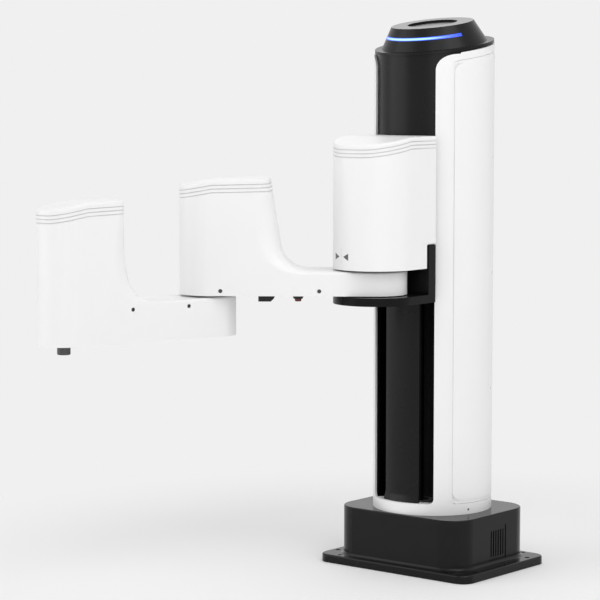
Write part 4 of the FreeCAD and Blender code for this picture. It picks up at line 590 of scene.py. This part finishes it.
def surface_marks(spots, faces):
    """Two strengths for each corner of a mesh.

    The first says how tightly the surface bends there: 1 on a 1 mm outer edge, 0 where it is
    flat. The second is 1 at the bottom of a narrow groove and 0 elsewhere.
    """
    faces = numpy.array(faces)
    corners = spots[faces]
    cross = numpy.cross(corners[:, 1] - corners[:, 0], corners[:, 2] - corners[:, 0])
    length = numpy.linalg.norm(cross, axis=1)
    normals = cross / numpy.maximum(length, 1e-18)[:, None]
    centres = corners.mean(axis=1)
    pairs = numpy.sort(faces[:, [0, 1, 1, 2, 2, 0]].reshape(-1, 2), axis=1)
    owners = numpy.repeat(numpy.arange(len(faces)), 3)
    order = numpy.lexsort((pairs[:, 1], pairs[:, 0]))
    pairs, owners = pairs[order], owners[order]
    twins = numpy.nonzero((pairs[1:] == pairs[:-1]).all(axis=1))[0]
    first, second = owners[twins], owners[twins + 1]
    reach = centres[second] - centres[first]
    angle = numpy.arccos(numpy.clip((normals[first] * normals[second]).sum(axis=1), -1, 1))
    outward = (normals[first] * reach).sum(axis=1) < 0
    bend = numpy.where(outward, angle, 0) / numpy.maximum(numpy.linalg.norm(reach, axis=1), 1e-9)
    of_face = numpy.zeros(len(faces))
    numpy.maximum.at(of_face, first, bend)
    numpy.maximum.at(of_face, second, bend)
    of_corner = numpy.full(len(spots), 1e9)
    numpy.minimum.at(of_corner, faces.reshape(-1), numpy.repeat(of_face, 3))
    edge = numpy.clip(of_corner * MM, 0, 1)
    sides = numpy.linalg.norm(corners - numpy.roll(corners, 1, axis=1), axis=2).max(axis=1)
    broad = length / numpy.maximum(sides, 1e-9) > GROOVE_WIDTH
    groove = numpy.zeros(len(spots))
    groove[pairs[twins[~outward & (angle > GROOVE_BEND)]].reshape(-1)] = 1
    groove[faces[broad].reshape(-1)] = 0
    return edge, groove


def smooth_copy(node, sharp_angle=math.radians(32)):
    """A merged copy of a CAD node's mesh that shades smoothly between its sharp edges."""
    spots, faces = merged(node)
    mesh = bpy.data.meshes.new(node + "_skin")
    mesh.from_pydata(spots, [], faces)
    for name, strength in zip(("edge", "groove"), surface_marks(spots, faces)):
        mesh.attributes.new(name, "FLOAT", "POINT").data.foreach_set("value", strength)
    mesh.set_sharp_from_angle(angle=sharp_angle)
    piece = link(node + "_skin", mesh)
    weighted = piece.modifiers.new("Even shading", "WEIGHTED_NORMAL")
    weighted.keep_sharp = True
    weighted.weight = 80
    return piece


def dress(node, material):
    """Shows a CAD node as its smooth copy in one material."""
    piece = smooth_copy(node)
    piece.data.materials.append(material)
    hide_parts(node)
    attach(piece, BODY_OF[node])
    return piece


def finish_all(*nodes):
    """Gives CAD nodes that no one sees from outside their slots' materials, and keeps their meshes."""
    for node in nodes:
        slots = frame["nodes"][node].material_slots
        if not slots:
            raise RuntimeError("no material slot on " + node)
        for slot in slots:
            slot.material = MATERIAL_OF_SLOT[SLOT_OF[node]]()


def dress_all(*nodes):
    """Shows CAD nodes as their smooth copies in their slots' materials."""
    for node in nodes:
        dress(node, MATERIAL_OF_SLOT[SLOT_OF[node]]())


def islands(node):
    """The separate solids of a CAD node, each as an array of its corner places."""
    spots, faces = merged(node)
    parent = list(range(len(spots)))

    def root(index):
        while parent[index] != index:
            parent[index] = parent[parent[index]]
            index = parent[index]
        return index

    for face in faces:
        for corner in face[1:]:
            parent[root(corner)] = root(face[0])
    groups = {}
    for index in range(len(spots)):
        groups.setdefault(root(index), []).append(index)
    return [spots[members] for members in groups.values()]


# Helpers for geometry nodes

def geometry_tree(name, inputs):
    """A geometry node tree with a mesh in and out and named sizes."""
    tree = bpy.data.node_groups.new(name, "GeometryNodeTree")
    tree.is_modifier = True
    tree.interface.new_socket("Spots", in_out="INPUT", socket_type="NodeSocketGeometry")
    for label, kind in inputs:
        tree.interface.new_socket(label, in_out="INPUT", socket_type=kind)
    tree.interface.new_socket("Result", in_out="OUTPUT", socket_type="NodeSocketGeometry")
    build = Builder(tree)
    return tree, build, build.add("NodeGroupInput").outputs, build.add("NodeGroupOutput")


def placed_copies(build, inputs, result, shape, turn=None):
    """Copies of a shape on every spot, its Z along the spot's outward attribute."""
    outward = build.add("GeometryNodeInputNamedAttribute", {"data_type": "FLOAT_VECTOR"}, Name="outward")
    facing = build.add("FunctionNodeAlignRotationToVector", {"axis": "Z"},
                       Vector=outward.outputs["Attribute"]).outputs[0]
    if turn is not None:
        spin = build.add("FunctionNodeAxisAngleToRotation", Angle=turn)
        facing = build.add("FunctionNodeRotateRotation", {"rotation_space": "LOCAL"}, Rotation=facing,
                           Rotate_By=spin.outputs[0]).outputs[0]
    copies = build.add("GeometryNodeInstanceOnPoints", Points=inputs["Spots"], Instance=shape,
                       Rotation=facing).outputs[0]
    solid = build.add("GeometryNodeRealizeInstances", Geometry=copies).outputs[0]
    finished = build.add("GeometryNodeSetMaterial", Geometry=solid, Material=inputs["Finish"]).outputs[0]
    build.tree.links.new(finished, result.inputs[0])


def screw_tree():
    """Chamfered round heads with a hexagon recess, each on a shank."""
    name = "Hexagon socket screws"
    if name in bpy.data.node_groups:
        return bpy.data.node_groups[name]
    sizes = [(label, "NodeSocketFloat") for label in
             ("Head radius", "Head depth", "Chamfer", "Key width", "Shank length")]
    tree, build, inputs, result = geometry_tree(name, sizes + [("Finish", "NodeSocketMaterial")])
    depth = inputs["Head depth"]
    half = build.math("MULTIPLY", depth, 0.5)
    head = build.add("GeometryNodeMeshCylinder", Vertices=32, Side_Segments=2,
                     Radius=inputs["Head radius"], Depth=depth)
    height = build.add("ShaderNodeSeparateXYZ", Vector=build.add("GeometryNodeInputPosition").outputs[0])
    on_top = build.math("GREATER_THAN", height.outputs["Z"], build.math("MULTIPLY", half, 0.5))
    in_middle = build.math("LESS_THAN", build.math("ABSOLUTE", height.outputs["Z"]),
                           build.math("MULTIPLY", half, 0.5))
    share = build.math("DIVIDE", inputs["Chamfer"], inputs["Head radius"])
    narrow = build.math("SUBTRACT", 1.0, build.math("MULTIPLY", on_top, share))
    scale = build.add("ShaderNodeCombineXYZ", X=narrow, Y=narrow, Z=1.0).outputs[0]
    position = build.vector("MULTIPLY", build.add("GeometryNodeInputPosition").outputs[0], scale)
    lift = build.math("MULTIPLY", in_middle, build.math("SUBTRACT", half, inputs["Chamfer"]))
    lift = build.math("SUBTRACT", lift, half)
    shaped = build.add("GeometryNodeSetPosition", Geometry=head.outputs["Mesh"], Position=position,
                       Offset=build.add("ShaderNodeCombineXYZ", Z=lift).outputs[0])
    key = build.add("GeometryNodeMeshCylinder", Vertices=6,
                    Radius=build.math("MULTIPLY", inputs["Key width"], 0.577), Depth=depth)
    recessed = build.add("GeometryNodeMeshBoolean", {"operation": "DIFFERENCE", "solver": "EXACT"},
                         Mesh_1=shaped.outputs[0], Mesh_2=key.outputs["Mesh"])
    shank = build.add("GeometryNodeMeshCylinder", Vertices=16, Depth=inputs["Shank length"],
                      Radius=build.math("MULTIPLY", inputs["Head radius"], SHANK_SHARE))
    drop = build.math("SUBTRACT", build.math("MULTIPLY", inputs["Shank length"], -0.5), depth)
    below = build.add("GeometryNodeTransform", Geometry=shank.outputs["Mesh"],
                      Translation=build.add("ShaderNodeCombineXYZ", Z=drop).outputs[0])
    whole = build.add("GeometryNodeJoinGeometry")
    for part in (recessed, below):
        tree.links.new(part.outputs[0], whole.inputs[0])
    index = build.add("GeometryNodeInputIndex").outputs[0]
    turn = build.add("FunctionNodeRandomValue", {"data_type": "FLOAT"}, Max=math.pi, ID=index, Seed=7)
    placed_copies(build, inputs, result, whole.outputs[0], turn.outputs[1])
    return tree


def contact_tree():
    """Square contact pins."""
    name = "Contact pins"
    if name in bpy.data.node_groups:
        return bpy.data.node_groups[name]
    sizes = [(label, "NodeSocketFloat") for label in ("Width", "Length")]
    tree, build, inputs, result = geometry_tree(name, sizes + [("Finish", "NodeSocketMaterial")])
    size = build.add("ShaderNodeCombineXYZ", X=inputs["Width"], Y=inputs["Width"], Z=inputs["Length"])
    bar = build.add("GeometryNodeMeshCube", Size=size.outputs[0])
    lift = build.add("ShaderNodeCombineXYZ", Z=build.math("MULTIPLY", inputs["Length"], 0.5))
    raised = build.add("GeometryNodeTransform", Geometry=bar.outputs["Mesh"], Translation=lift.outputs[0])
    placed_copies(build, inputs, result, raised.outputs[0])
    return tree


def grown(name, tree, spots, **sizes):
    """Runs a geometry tree on (place, outward) spots and keeps the result as a plain mesh."""
    mesh = bpy.data.meshes.new(name + "_spots")
    mesh.from_pydata([place for place, _ in spots], [], [])
    outward = mesh.attributes.new("outward", "FLOAT_VECTOR", "POINT")
    outward.data.foreach_set("vector", [part for _, way in spots for part in way])
    source = link(name + "_spots", mesh)
    modifier = source.modifiers.new(tree.name, "NODES")
    modifier.node_group = tree
    sockets = {item.name: item.identifier for item in tree.interface.items_tree}
    for label, value in sizes.items():
        modifier[sockets[label.replace("_", " ")]] = value
    graph = bpy.context.evaluated_depsgraph_get()
    result = bpy.data.meshes.new_from_object(source.evaluated_get(graph))
    result.name = name
    source.modifiers.clear()
    bpy.data.objects.remove(source)
    if not result.polygons:
        raise RuntimeError("the geometry tree made nothing for " + name)
    result.set_sharp_from_angle(angle=math.radians(30))
    return link(name, result)


class ROBOT_OT_base(bpy.types.Operator):
    """Finish the base casting, its covers and the pieces inside it"""
    bl_idname = "robot.base"
    bl_label = "Base"

    def execute(self, context):
        dress_all("base_casting", "bottom_cover", "interface_panel", "power_inlet", "network_sockets",
                  "signal_sockets", "switch_bezel", "switch_rocker")
        dress("side_grilles", coat_black())
        finish_all("power_supply", "lift_motor", "servo_drivers", "control_board", "timing_belt",
                   "screw_pulley", "motor_pulley")
        return {"FINISHED"}


class ROBOT_OT_column(bpy.types.Operator):
    """Finish the column, its shell, covers and cap, and the drive inside it"""
    bl_idname = "robot.column"
    bl_label = "Column"

    def execute(self, context):
        dress_all("column_shell", "rear_cover", "window_sill", "front_strip")
        dress("column_tube", matt_black())
        dress("cap", crowned_black())
        dress("upper_housing", gloss_black())
        # Painted shade: the rails and ball screw in the window's slots get near-black steel
        for node in ("lift_rails", "ball_screw"):
            dress(node, oiled_steel())
        finish_all("screw_bearings", "screw_bearing_blocks")
        return {"FINISHED"}


class ROBOT_OT_carriage(bpy.types.Operator):
    """Finish the carriage and print the alignment mark on its casing"""
    bl_idname = "robot.carriage"
    bl_label = "Carriage"

    def execute(self, context):
        dress_all("carriage_bracket", "slide_plate")
        dress("carriage_casing", self.marked_white())
        finish_all("rail_blocks", "ball_nut", "shoulder_bearings", "nut_housing", "shoulder_reducer",
                   "shoulder_motor")
        return {"FINISHED"}

    def marked_white(self):
        """White plastic with a printed line between two arrowheads, placed round the shoulder axis."""
        look = finishes()
        axis = AXIS_OF["shoulder"]

        def mark(build, tone, gloss):
            place = build.add("ShaderNodeTexCoord").outputs["Object"]
            split = build.add("ShaderNodeSeparateXYZ", Vector=place)
            turn = build.math("ARCTAN2", build.math("SUBTRACT", split.outputs["Y"], axis.y),
                              build.math("SUBTRACT", split.outputs["X"], axis.x))
            along = build.math("MULTIPLY_ADD", turn, MARK_RADIUS, -MARK_TURN * MARK_RADIUS)
            height = split.outputs["Z"]
            flat = build.vector("MULTIPLY", build.vector("SUBTRACT", place, tuple(axis)), (1.0, 1.0, 0.0))
            outside = build.math("GREATER_THAN", build.vector("LENGTH", flat), MARK_RADIUS - 1.5 * MM)

            def inside(value, low, high):
                rise = build.step(value, low - 0.1 * MM, low + 0.1 * MM)
                fall = build.step(value, high + 0.1 * MM, high - 0.1 * MM)
                return build.math("MULTIPLY", rise, fall)

            line = build.math("MULTIPLY", inside(along, -MARK_LINE_HALF_WIDTH, MARK_LINE_HALF_WIDTH),
                              inside(height, *MARK_LINE))
            level = build.math("ABSOLUTE", build.math("SUBTRACT", height, MARK_LEVEL))
            arrows = []
            for tip, foot in MARK_ARROWS:
                share = build.math("DIVIDE", build.math("SUBTRACT", along, tip), foot - tip)
                spread = build.math("MULTIPLY", share, MARK_ARROW_HALF_HEIGHT)
                slim = build.step(build.math("SUBTRACT", spread, level), -0.1 * MM, 0.1 * MM)
                shown = build.math("MULTIPLY", build.math("GREATER_THAN", share, 0.0),
                                   build.math("LESS_THAN", share, 1.0))
                arrows.append(build.math("MULTIPLY", slim, shown))
            ink = build.math("MAXIMUM", arrows[0], arrows[1])
            ink = build.math("MAXIMUM", ink, build.math("MULTIPLY", line, MARK_LINE_STRENGTH))
            ink = build.math("MULTIPLY", ink, outside)
            return build.mix(ink, tone, tuple(look.mark_grey)), gloss

        # Painted shade darkens the bottoms of this casing's grooves, as on the other white casings
        return moulded("marked_white", look.shell_white, look.shell_roughness, dust=0.02,
                       groove=look.painted_shade_in_grooves, extra=mark)


class ROBOT_OT_arms(bpy.types.Operator):
    """Finish both arms, the tool shaft and what hangs below them"""
    bl_idname = "robot.arms"
    bl_label = "Arms"

    def execute(self, context):
        dress_all("rear_arm_casing", "rear_arm_frame", "underside_socket", "button_bezel", "push_button",
                  "forearm_casing", "forearm_frame", "forearm_bottom_cover", "tool_shaft")
        finish_all("shoulder_shaft", "elbow_bearing", "elbow_shaft", "tool_bearings", "elbow_reducer",
                   "elbow_motor", "tool_motor")
        return {"FINISHED"}


class ROBOT_OT_screws(bpy.types.Operator):
    """Put hexagon socket screws into the shell, the arms and the bottom cover"""
    bl_idname = "robot.screws"
    bl_label = "Screws"

    def execute(self, context):
        self.set_screws("shell_screws", self.from_column)
        self.set_screws("rear_arm_screws", self.beside("shoulder", "elbow"))
        self.set_screws("forearm_screws", self.beside("elbow", "tool_spin"))
        self.set_screws("bottom_cover_screws", lambda centre: Vector((0, 0, -1)))
        return {"FINISHED"}

    @staticmethod
    def from_column(centre):
        return Vector((centre.x, centre.y, 0)).normalized()

    @staticmethod
    def beside(near, far):
        """Outward direction of a screw in the side of the arm between two joints."""
        start = AXIS_OF[near]
        along = AXIS_OF[far] - start
        side = Vector((-along.y, along.x, 0)).normalized()

        def outward(centre):
            return side if (centre - start).dot(side) > 0 else -side

        return outward

    def set_screws(self, node, outward_at):
        parts = bpy.context.scene.robot_fasteners
        spots = []
        for corners in islands(node):
            centre = Vector((corners.min(axis=0) + corners.max(axis=0)) / 2)
            outward = outward_at(centre)
            heights = (corners - numpy.array(centre)) @ numpy.array(outward)
            aside = (corners - numpy.array(centre)) - numpy.outer(heights, numpy.array(outward))
            hole = numpy.linalg.norm(aside, axis=1).max()
            length = heights.max() - heights.min()
            spots.append((centre + outward * (heights.max() - parts.head_sunk), outward))
        radius = hole - parts.head_gap
        depth = radius * HEAD_DEPTH_SHARE
        piece = grown(node + "_set", screw_tree(), spots, Head_radius=radius, Head_depth=depth,
                      Chamfer=parts.head_chamfer, Key_width=radius * 2 * parts.key_share,
                      Shank_length=length - depth - parts.head_sunk, Finish=dark_steel())
        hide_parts(node)
        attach(piece, BODY_OF[node])


class ROBOT_OT_contacts(bpy.types.Operator):
    """Put contacts into the network, signal and underside sockets"""
    bl_idname = "robot.contacts"
    bl_label = "Contacts"

    def execute(self, context):
        parts = context.scene.robot_fasteners
        pitch = parts.contact_pitch
        outward = Vector((-1, 0, 0))
        pins = []
        for name in ("signal_socket_lower", "signal_socket_upper"):
            low, high = SOCKETS[name]
            middle = (low + high) / 2
            for column in range(-3, 3):
                for row in (-0.5, 0.5):
                    pins.append((Vector((high.x - MM * 0.1, middle.y + (column + 0.5) * pitch,
                                         middle.z + row * pitch)), outward))
        width = parts.contact_width
        self.set_pins("signal_contacts", pins, width, SIGNAL_PIN_LENGTH, "base")
        springs = []
        for name in ("network_socket_1", "network_socket_2"):
            low, high = SOCKETS[name]
            count = parts.network_contacts
            for index in range(count):
                across = (index - (count - 1) / 2) * pitch / 2.5
                springs.append((Vector((high.x - MM * 0.1, (low.y + high.y) / 2 + across,
                                        high.z - 1.2 * MM)), outward))
        self.set_pins("network_contacts", springs, width * 0.7, NETWORK_SPRING_LENGTH, "base")
        low, high = SOCKETS["underside_socket"]
        middle = (low + high) / 2
        close = pitch * 0.8
        studs = [(Vector((middle.x + column * close, middle.y + row * close, high.z - 0.1 * MM)),
                  Vector((0, 0, -1))) for column in (-1, 0, 1) for row in (-0.5, 0.5)]
        self.set_pins("underside_contacts", studs, width, UNDERSIDE_STUD_LENGTH, "rear_arm")
        return {"FINISHED"}

    def set_pins(self, name, spots, width, length, body):
        piece = grown(name, contact_tree(), spots, Width=width, Length=length, Finish=contact_gold())
        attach(piece, body)


class ROBOT_OT_light_strip(bpy.types.Operator):
    """Make the light strip glow, brightest along its middle and fading at its ends"""
    bl_idname = "robot.light_strip"
    bl_label = "Light strip"

    def execute(self, context):
        look = finishes()
        corners, _ = merged("light_strip")
        corners = corners - numpy.array(CAP_PIVOT)
        heights = corners @ numpy.array(CAP_UP)
        turns = numpy.arctan2(corners[:, 1], corners @ numpy.array(CAP_FORWARD))
        middle = float(heights.min() + heights.max()) / 2
        half_width = float(heights.max() - heights.min()) / 2
        half_turn = float(numpy.abs(turns).max())
        material, build, shader = new_material("light_strip")
        place = build.vector("SUBTRACT", build.add("ShaderNodeTexCoord").outputs["Object"],
                             tuple(CAP_PIVOT))
        offset = build.math("SUBTRACT", build.vector("DOT_PRODUCT", place, tuple(CAP_UP)), middle)
        split = build.add("ShaderNodeSeparateXYZ", Vector=place)
        turn = build.math("ARCTAN2", split.outputs["Y"],
                          build.vector("DOT_PRODUCT", place, tuple(CAP_FORWARD)))
        fade = build.step(build.math("ABSOLUTE", turn), half_turn, half_turn * 0.15)
        spread = build.math("DIVIDE", build.math("ABSOLUTE", offset), half_width)
        glow = build.math("MULTIPLY", build.step(spread, 1.0, 0.2), fade)
        colour = build.ramp(glow, [(0.0, look.light_edge), (0.9, look.light_core)])
        build.feed(shader, "Base Color", colour)
        build.feed(shader, "Emission Color", colour)
        shader.inputs["Emission Strength"].default_value = 1.0
        shader.inputs["Roughness"].default_value = 0.3
        dress("light_strip", material)
        return {"FINISHED"}


# Studio

def add_softbox(name, turn, rise, width, height, power):
    """A softbox that faces the object, placed by its direction in degrees."""
    turn, rise = math.radians(turn), math.radians(rise)
    way = Vector((math.cos(turn) * math.cos(rise), math.sin(turn) * math.cos(rise), math.sin(rise)))
    data = bpy.data.lights.new(name, "AREA")
    data.shape = "RECTANGLE"
    data.size = width
    data.size_y = height
    data.energy = power
    lamp = bpy.data.objects.new(name, data)
    lamp.location = SOFTBOX_TARGET + way * SOFTBOX_DISTANCE
    lamp.rotation_euler = (-way).to_track_quat("-Z", "Y").to_euler()
    bpy.context.scene.collection.objects.link(lamp)


class ROBOT_OT_stage(bpy.types.Operator):
    """Add the floor, the soft lights and the camera"""
    bl_idname = "robot.stage"
    bl_label = "Stage"

    def execute(self, context):
        stage = context.scene.robot_stage
        self.add_floor(stage)
        self.add_world(stage)
        self.add_lights(stage)
        self.add_camera(context, stage)
        return {"FINISHED"}

    @staticmethod
    def seen(build):
        """1 for rays from the camera, a reflection or glass."""
        rays = build.add("ShaderNodeLightPath")
        first = build.math("MAXIMUM", rays.outputs["Is Camera Ray"], rays.outputs["Is Glossy Ray"])
        return build.math("MAXIMUM", first, rays.outputs["Is Transmission Ray"])

    def add_floor(self, stage):
        mesh = bpy.data.meshes.new("floor")
        count = 96
        turns = [2 * math.pi * step / count for step in range(count)]
        rim = [(FLOOR_RADIUS * math.cos(turn), FLOOR_RADIUS * math.sin(turn), 0) for turn in turns]
        mesh.from_pydata(rim, [], [list(range(count))])
        floor = link("floor", mesh)
        floor.location.z = -FLOOR_DROP
        grey = stage.backdrop_grey
        material = bpy.data.materials.new("floor")
        material.use_nodes = True
        material.node_tree.nodes.clear()
        build = Builder(material.node_tree)
        white = stage.floor_white
        plain = build.add("ShaderNodeBsdfDiffuse", Color=(white, white, white, 1))
        glow = build.add("ShaderNodeEmission", Color=(grey, grey, grey, 1), Strength=1.0)
        place = build.add("ShaderNodeTexCoord").outputs["Object"]
        far = build.step(build.vector("LENGTH", place), *SHADOW_REACH)
        share = build.math("MAXIMUM", far, 1 - stage.shadow_share)
        blend = build.add("ShaderNodeMixShader", Fac=build.math("MULTIPLY", self.seen(build), share))
        material.node_tree.links.new(plain.outputs[0], blend.inputs[1])
        material.node_tree.links.new(glow.outputs[0], blend.inputs[2])
        build.add("ShaderNodeOutputMaterial", Surface=blend.outputs[0])
        mesh.materials.append(material)

    def add_world(self, stage):
        world = bpy.data.worlds.new("studio")
        bpy.context.scene.world = world
        world.use_nodes = True
        world.node_tree.nodes.clear()
        build = Builder(world.node_tree)
        grey = stage.backdrop_grey
        plain = build.add("ShaderNodeBackground", Color=(1, 1, 1, 1), Strength=stage.room_light)
        shown = build.add("ShaderNodeBackground", Color=(grey, grey, grey, 1), Strength=1.0)
        blend = build.add("ShaderNodeMixShader", Fac=self.seen(build))
        world.node_tree.links.new(plain.outputs[0], blend.inputs[1])
        world.node_tree.links.new(shown.outputs[0], blend.inputs[2])
        build.add("ShaderNodeOutputWorld", Surface=blend.outputs[0])

    def add_lights(self, stage):
        for name, power, turn, rise, width, height in SOFTBOXES:
            add_softbox(name, turn, rise, width, height, getattr(stage, power))

    def add_camera(self, context, stage):
        data = bpy.data.cameras.new("camera")
        data.sensor_width = 36.0
        data.lens = stage.lens
        data.clip_end = 80
        camera = bpy.data.objects.new("camera", data)
        flat = math.cos(stage.camera_tilt)
        heading = Vector((math.cos(stage.camera_heading) * flat, math.sin(stage.camera_heading) * flat,
                          -math.sin(stage.camera_tilt)))
        camera.location = stage.camera_place
        camera.rotation_euler = heading.to_track_quat("-Z", "Y").to_euler()
        context.scene.collection.objects.link(camera)
        context.scene.camera = camera


class ROBOT_PT_panel(bpy.types.Panel):
    """Lists the sizes, colours and steps that make the robot's looks"""
    bl_label = "SCARA robot"
    bl_idname = "ROBOT_PT_panel"
    bl_space_type = "VIEW_3D"
    bl_region_type = "UI"
    bl_category = "Robot"

    def draw(self, context):
        scene = context.scene
        for group in (scene.robot_finishes, scene.robot_fasteners, scene.robot_stage):
            for name in group.__annotations__:
                self.layout.prop(group, name)
        for operator in OPERATORS:
            self.layout.operator(operator.bl_idname)


GROUPS = (RobotFinishes, RobotFasteners, RobotStage)
OPERATORS = (ROBOT_OT_base, ROBOT_OT_column, ROBOT_OT_carriage, ROBOT_OT_arms, ROBOT_OT_screws,
             ROBOT_OT_contacts, ROBOT_OT_light_strip, ROBOT_OT_stage)
CLASSES = GROUPS + OPERATORS + (ROBOT_PT_panel,)


def register():
    for item in CLASSES:
        bpy.utils.register_class(item)
    bpy.types.Scene.robot_finishes = PointerProperty(type=RobotFinishes)
    bpy.types.Scene.robot_fasteners = PointerProperty(type=RobotFasteners)
    bpy.types.Scene.robot_stage = PointerProperty(type=RobotStage)


def unregister():
    del bpy.types.Scene.robot_finishes
    del bpy.types.Scene.robot_fasteners
    del bpy.types.Scene.robot_stage
    for item in reversed(CLASSES):
        bpy.utils.unregister_class(item)


def main():
    register()
    bpy.context.scene.view_settings.view_transform = "Standard"
    bpy.ops.robot.base()
    bpy.ops.robot.column()
    bpy.ops.robot.carriage()
    bpy.ops.robot.arms()
    bpy.ops.robot.screws()
    bpy.ops.robot.contacts()
    bpy.ops.robot.light_strip()
    bpy.ops.robot.stage()


if __name__ == "__main__":
    main()
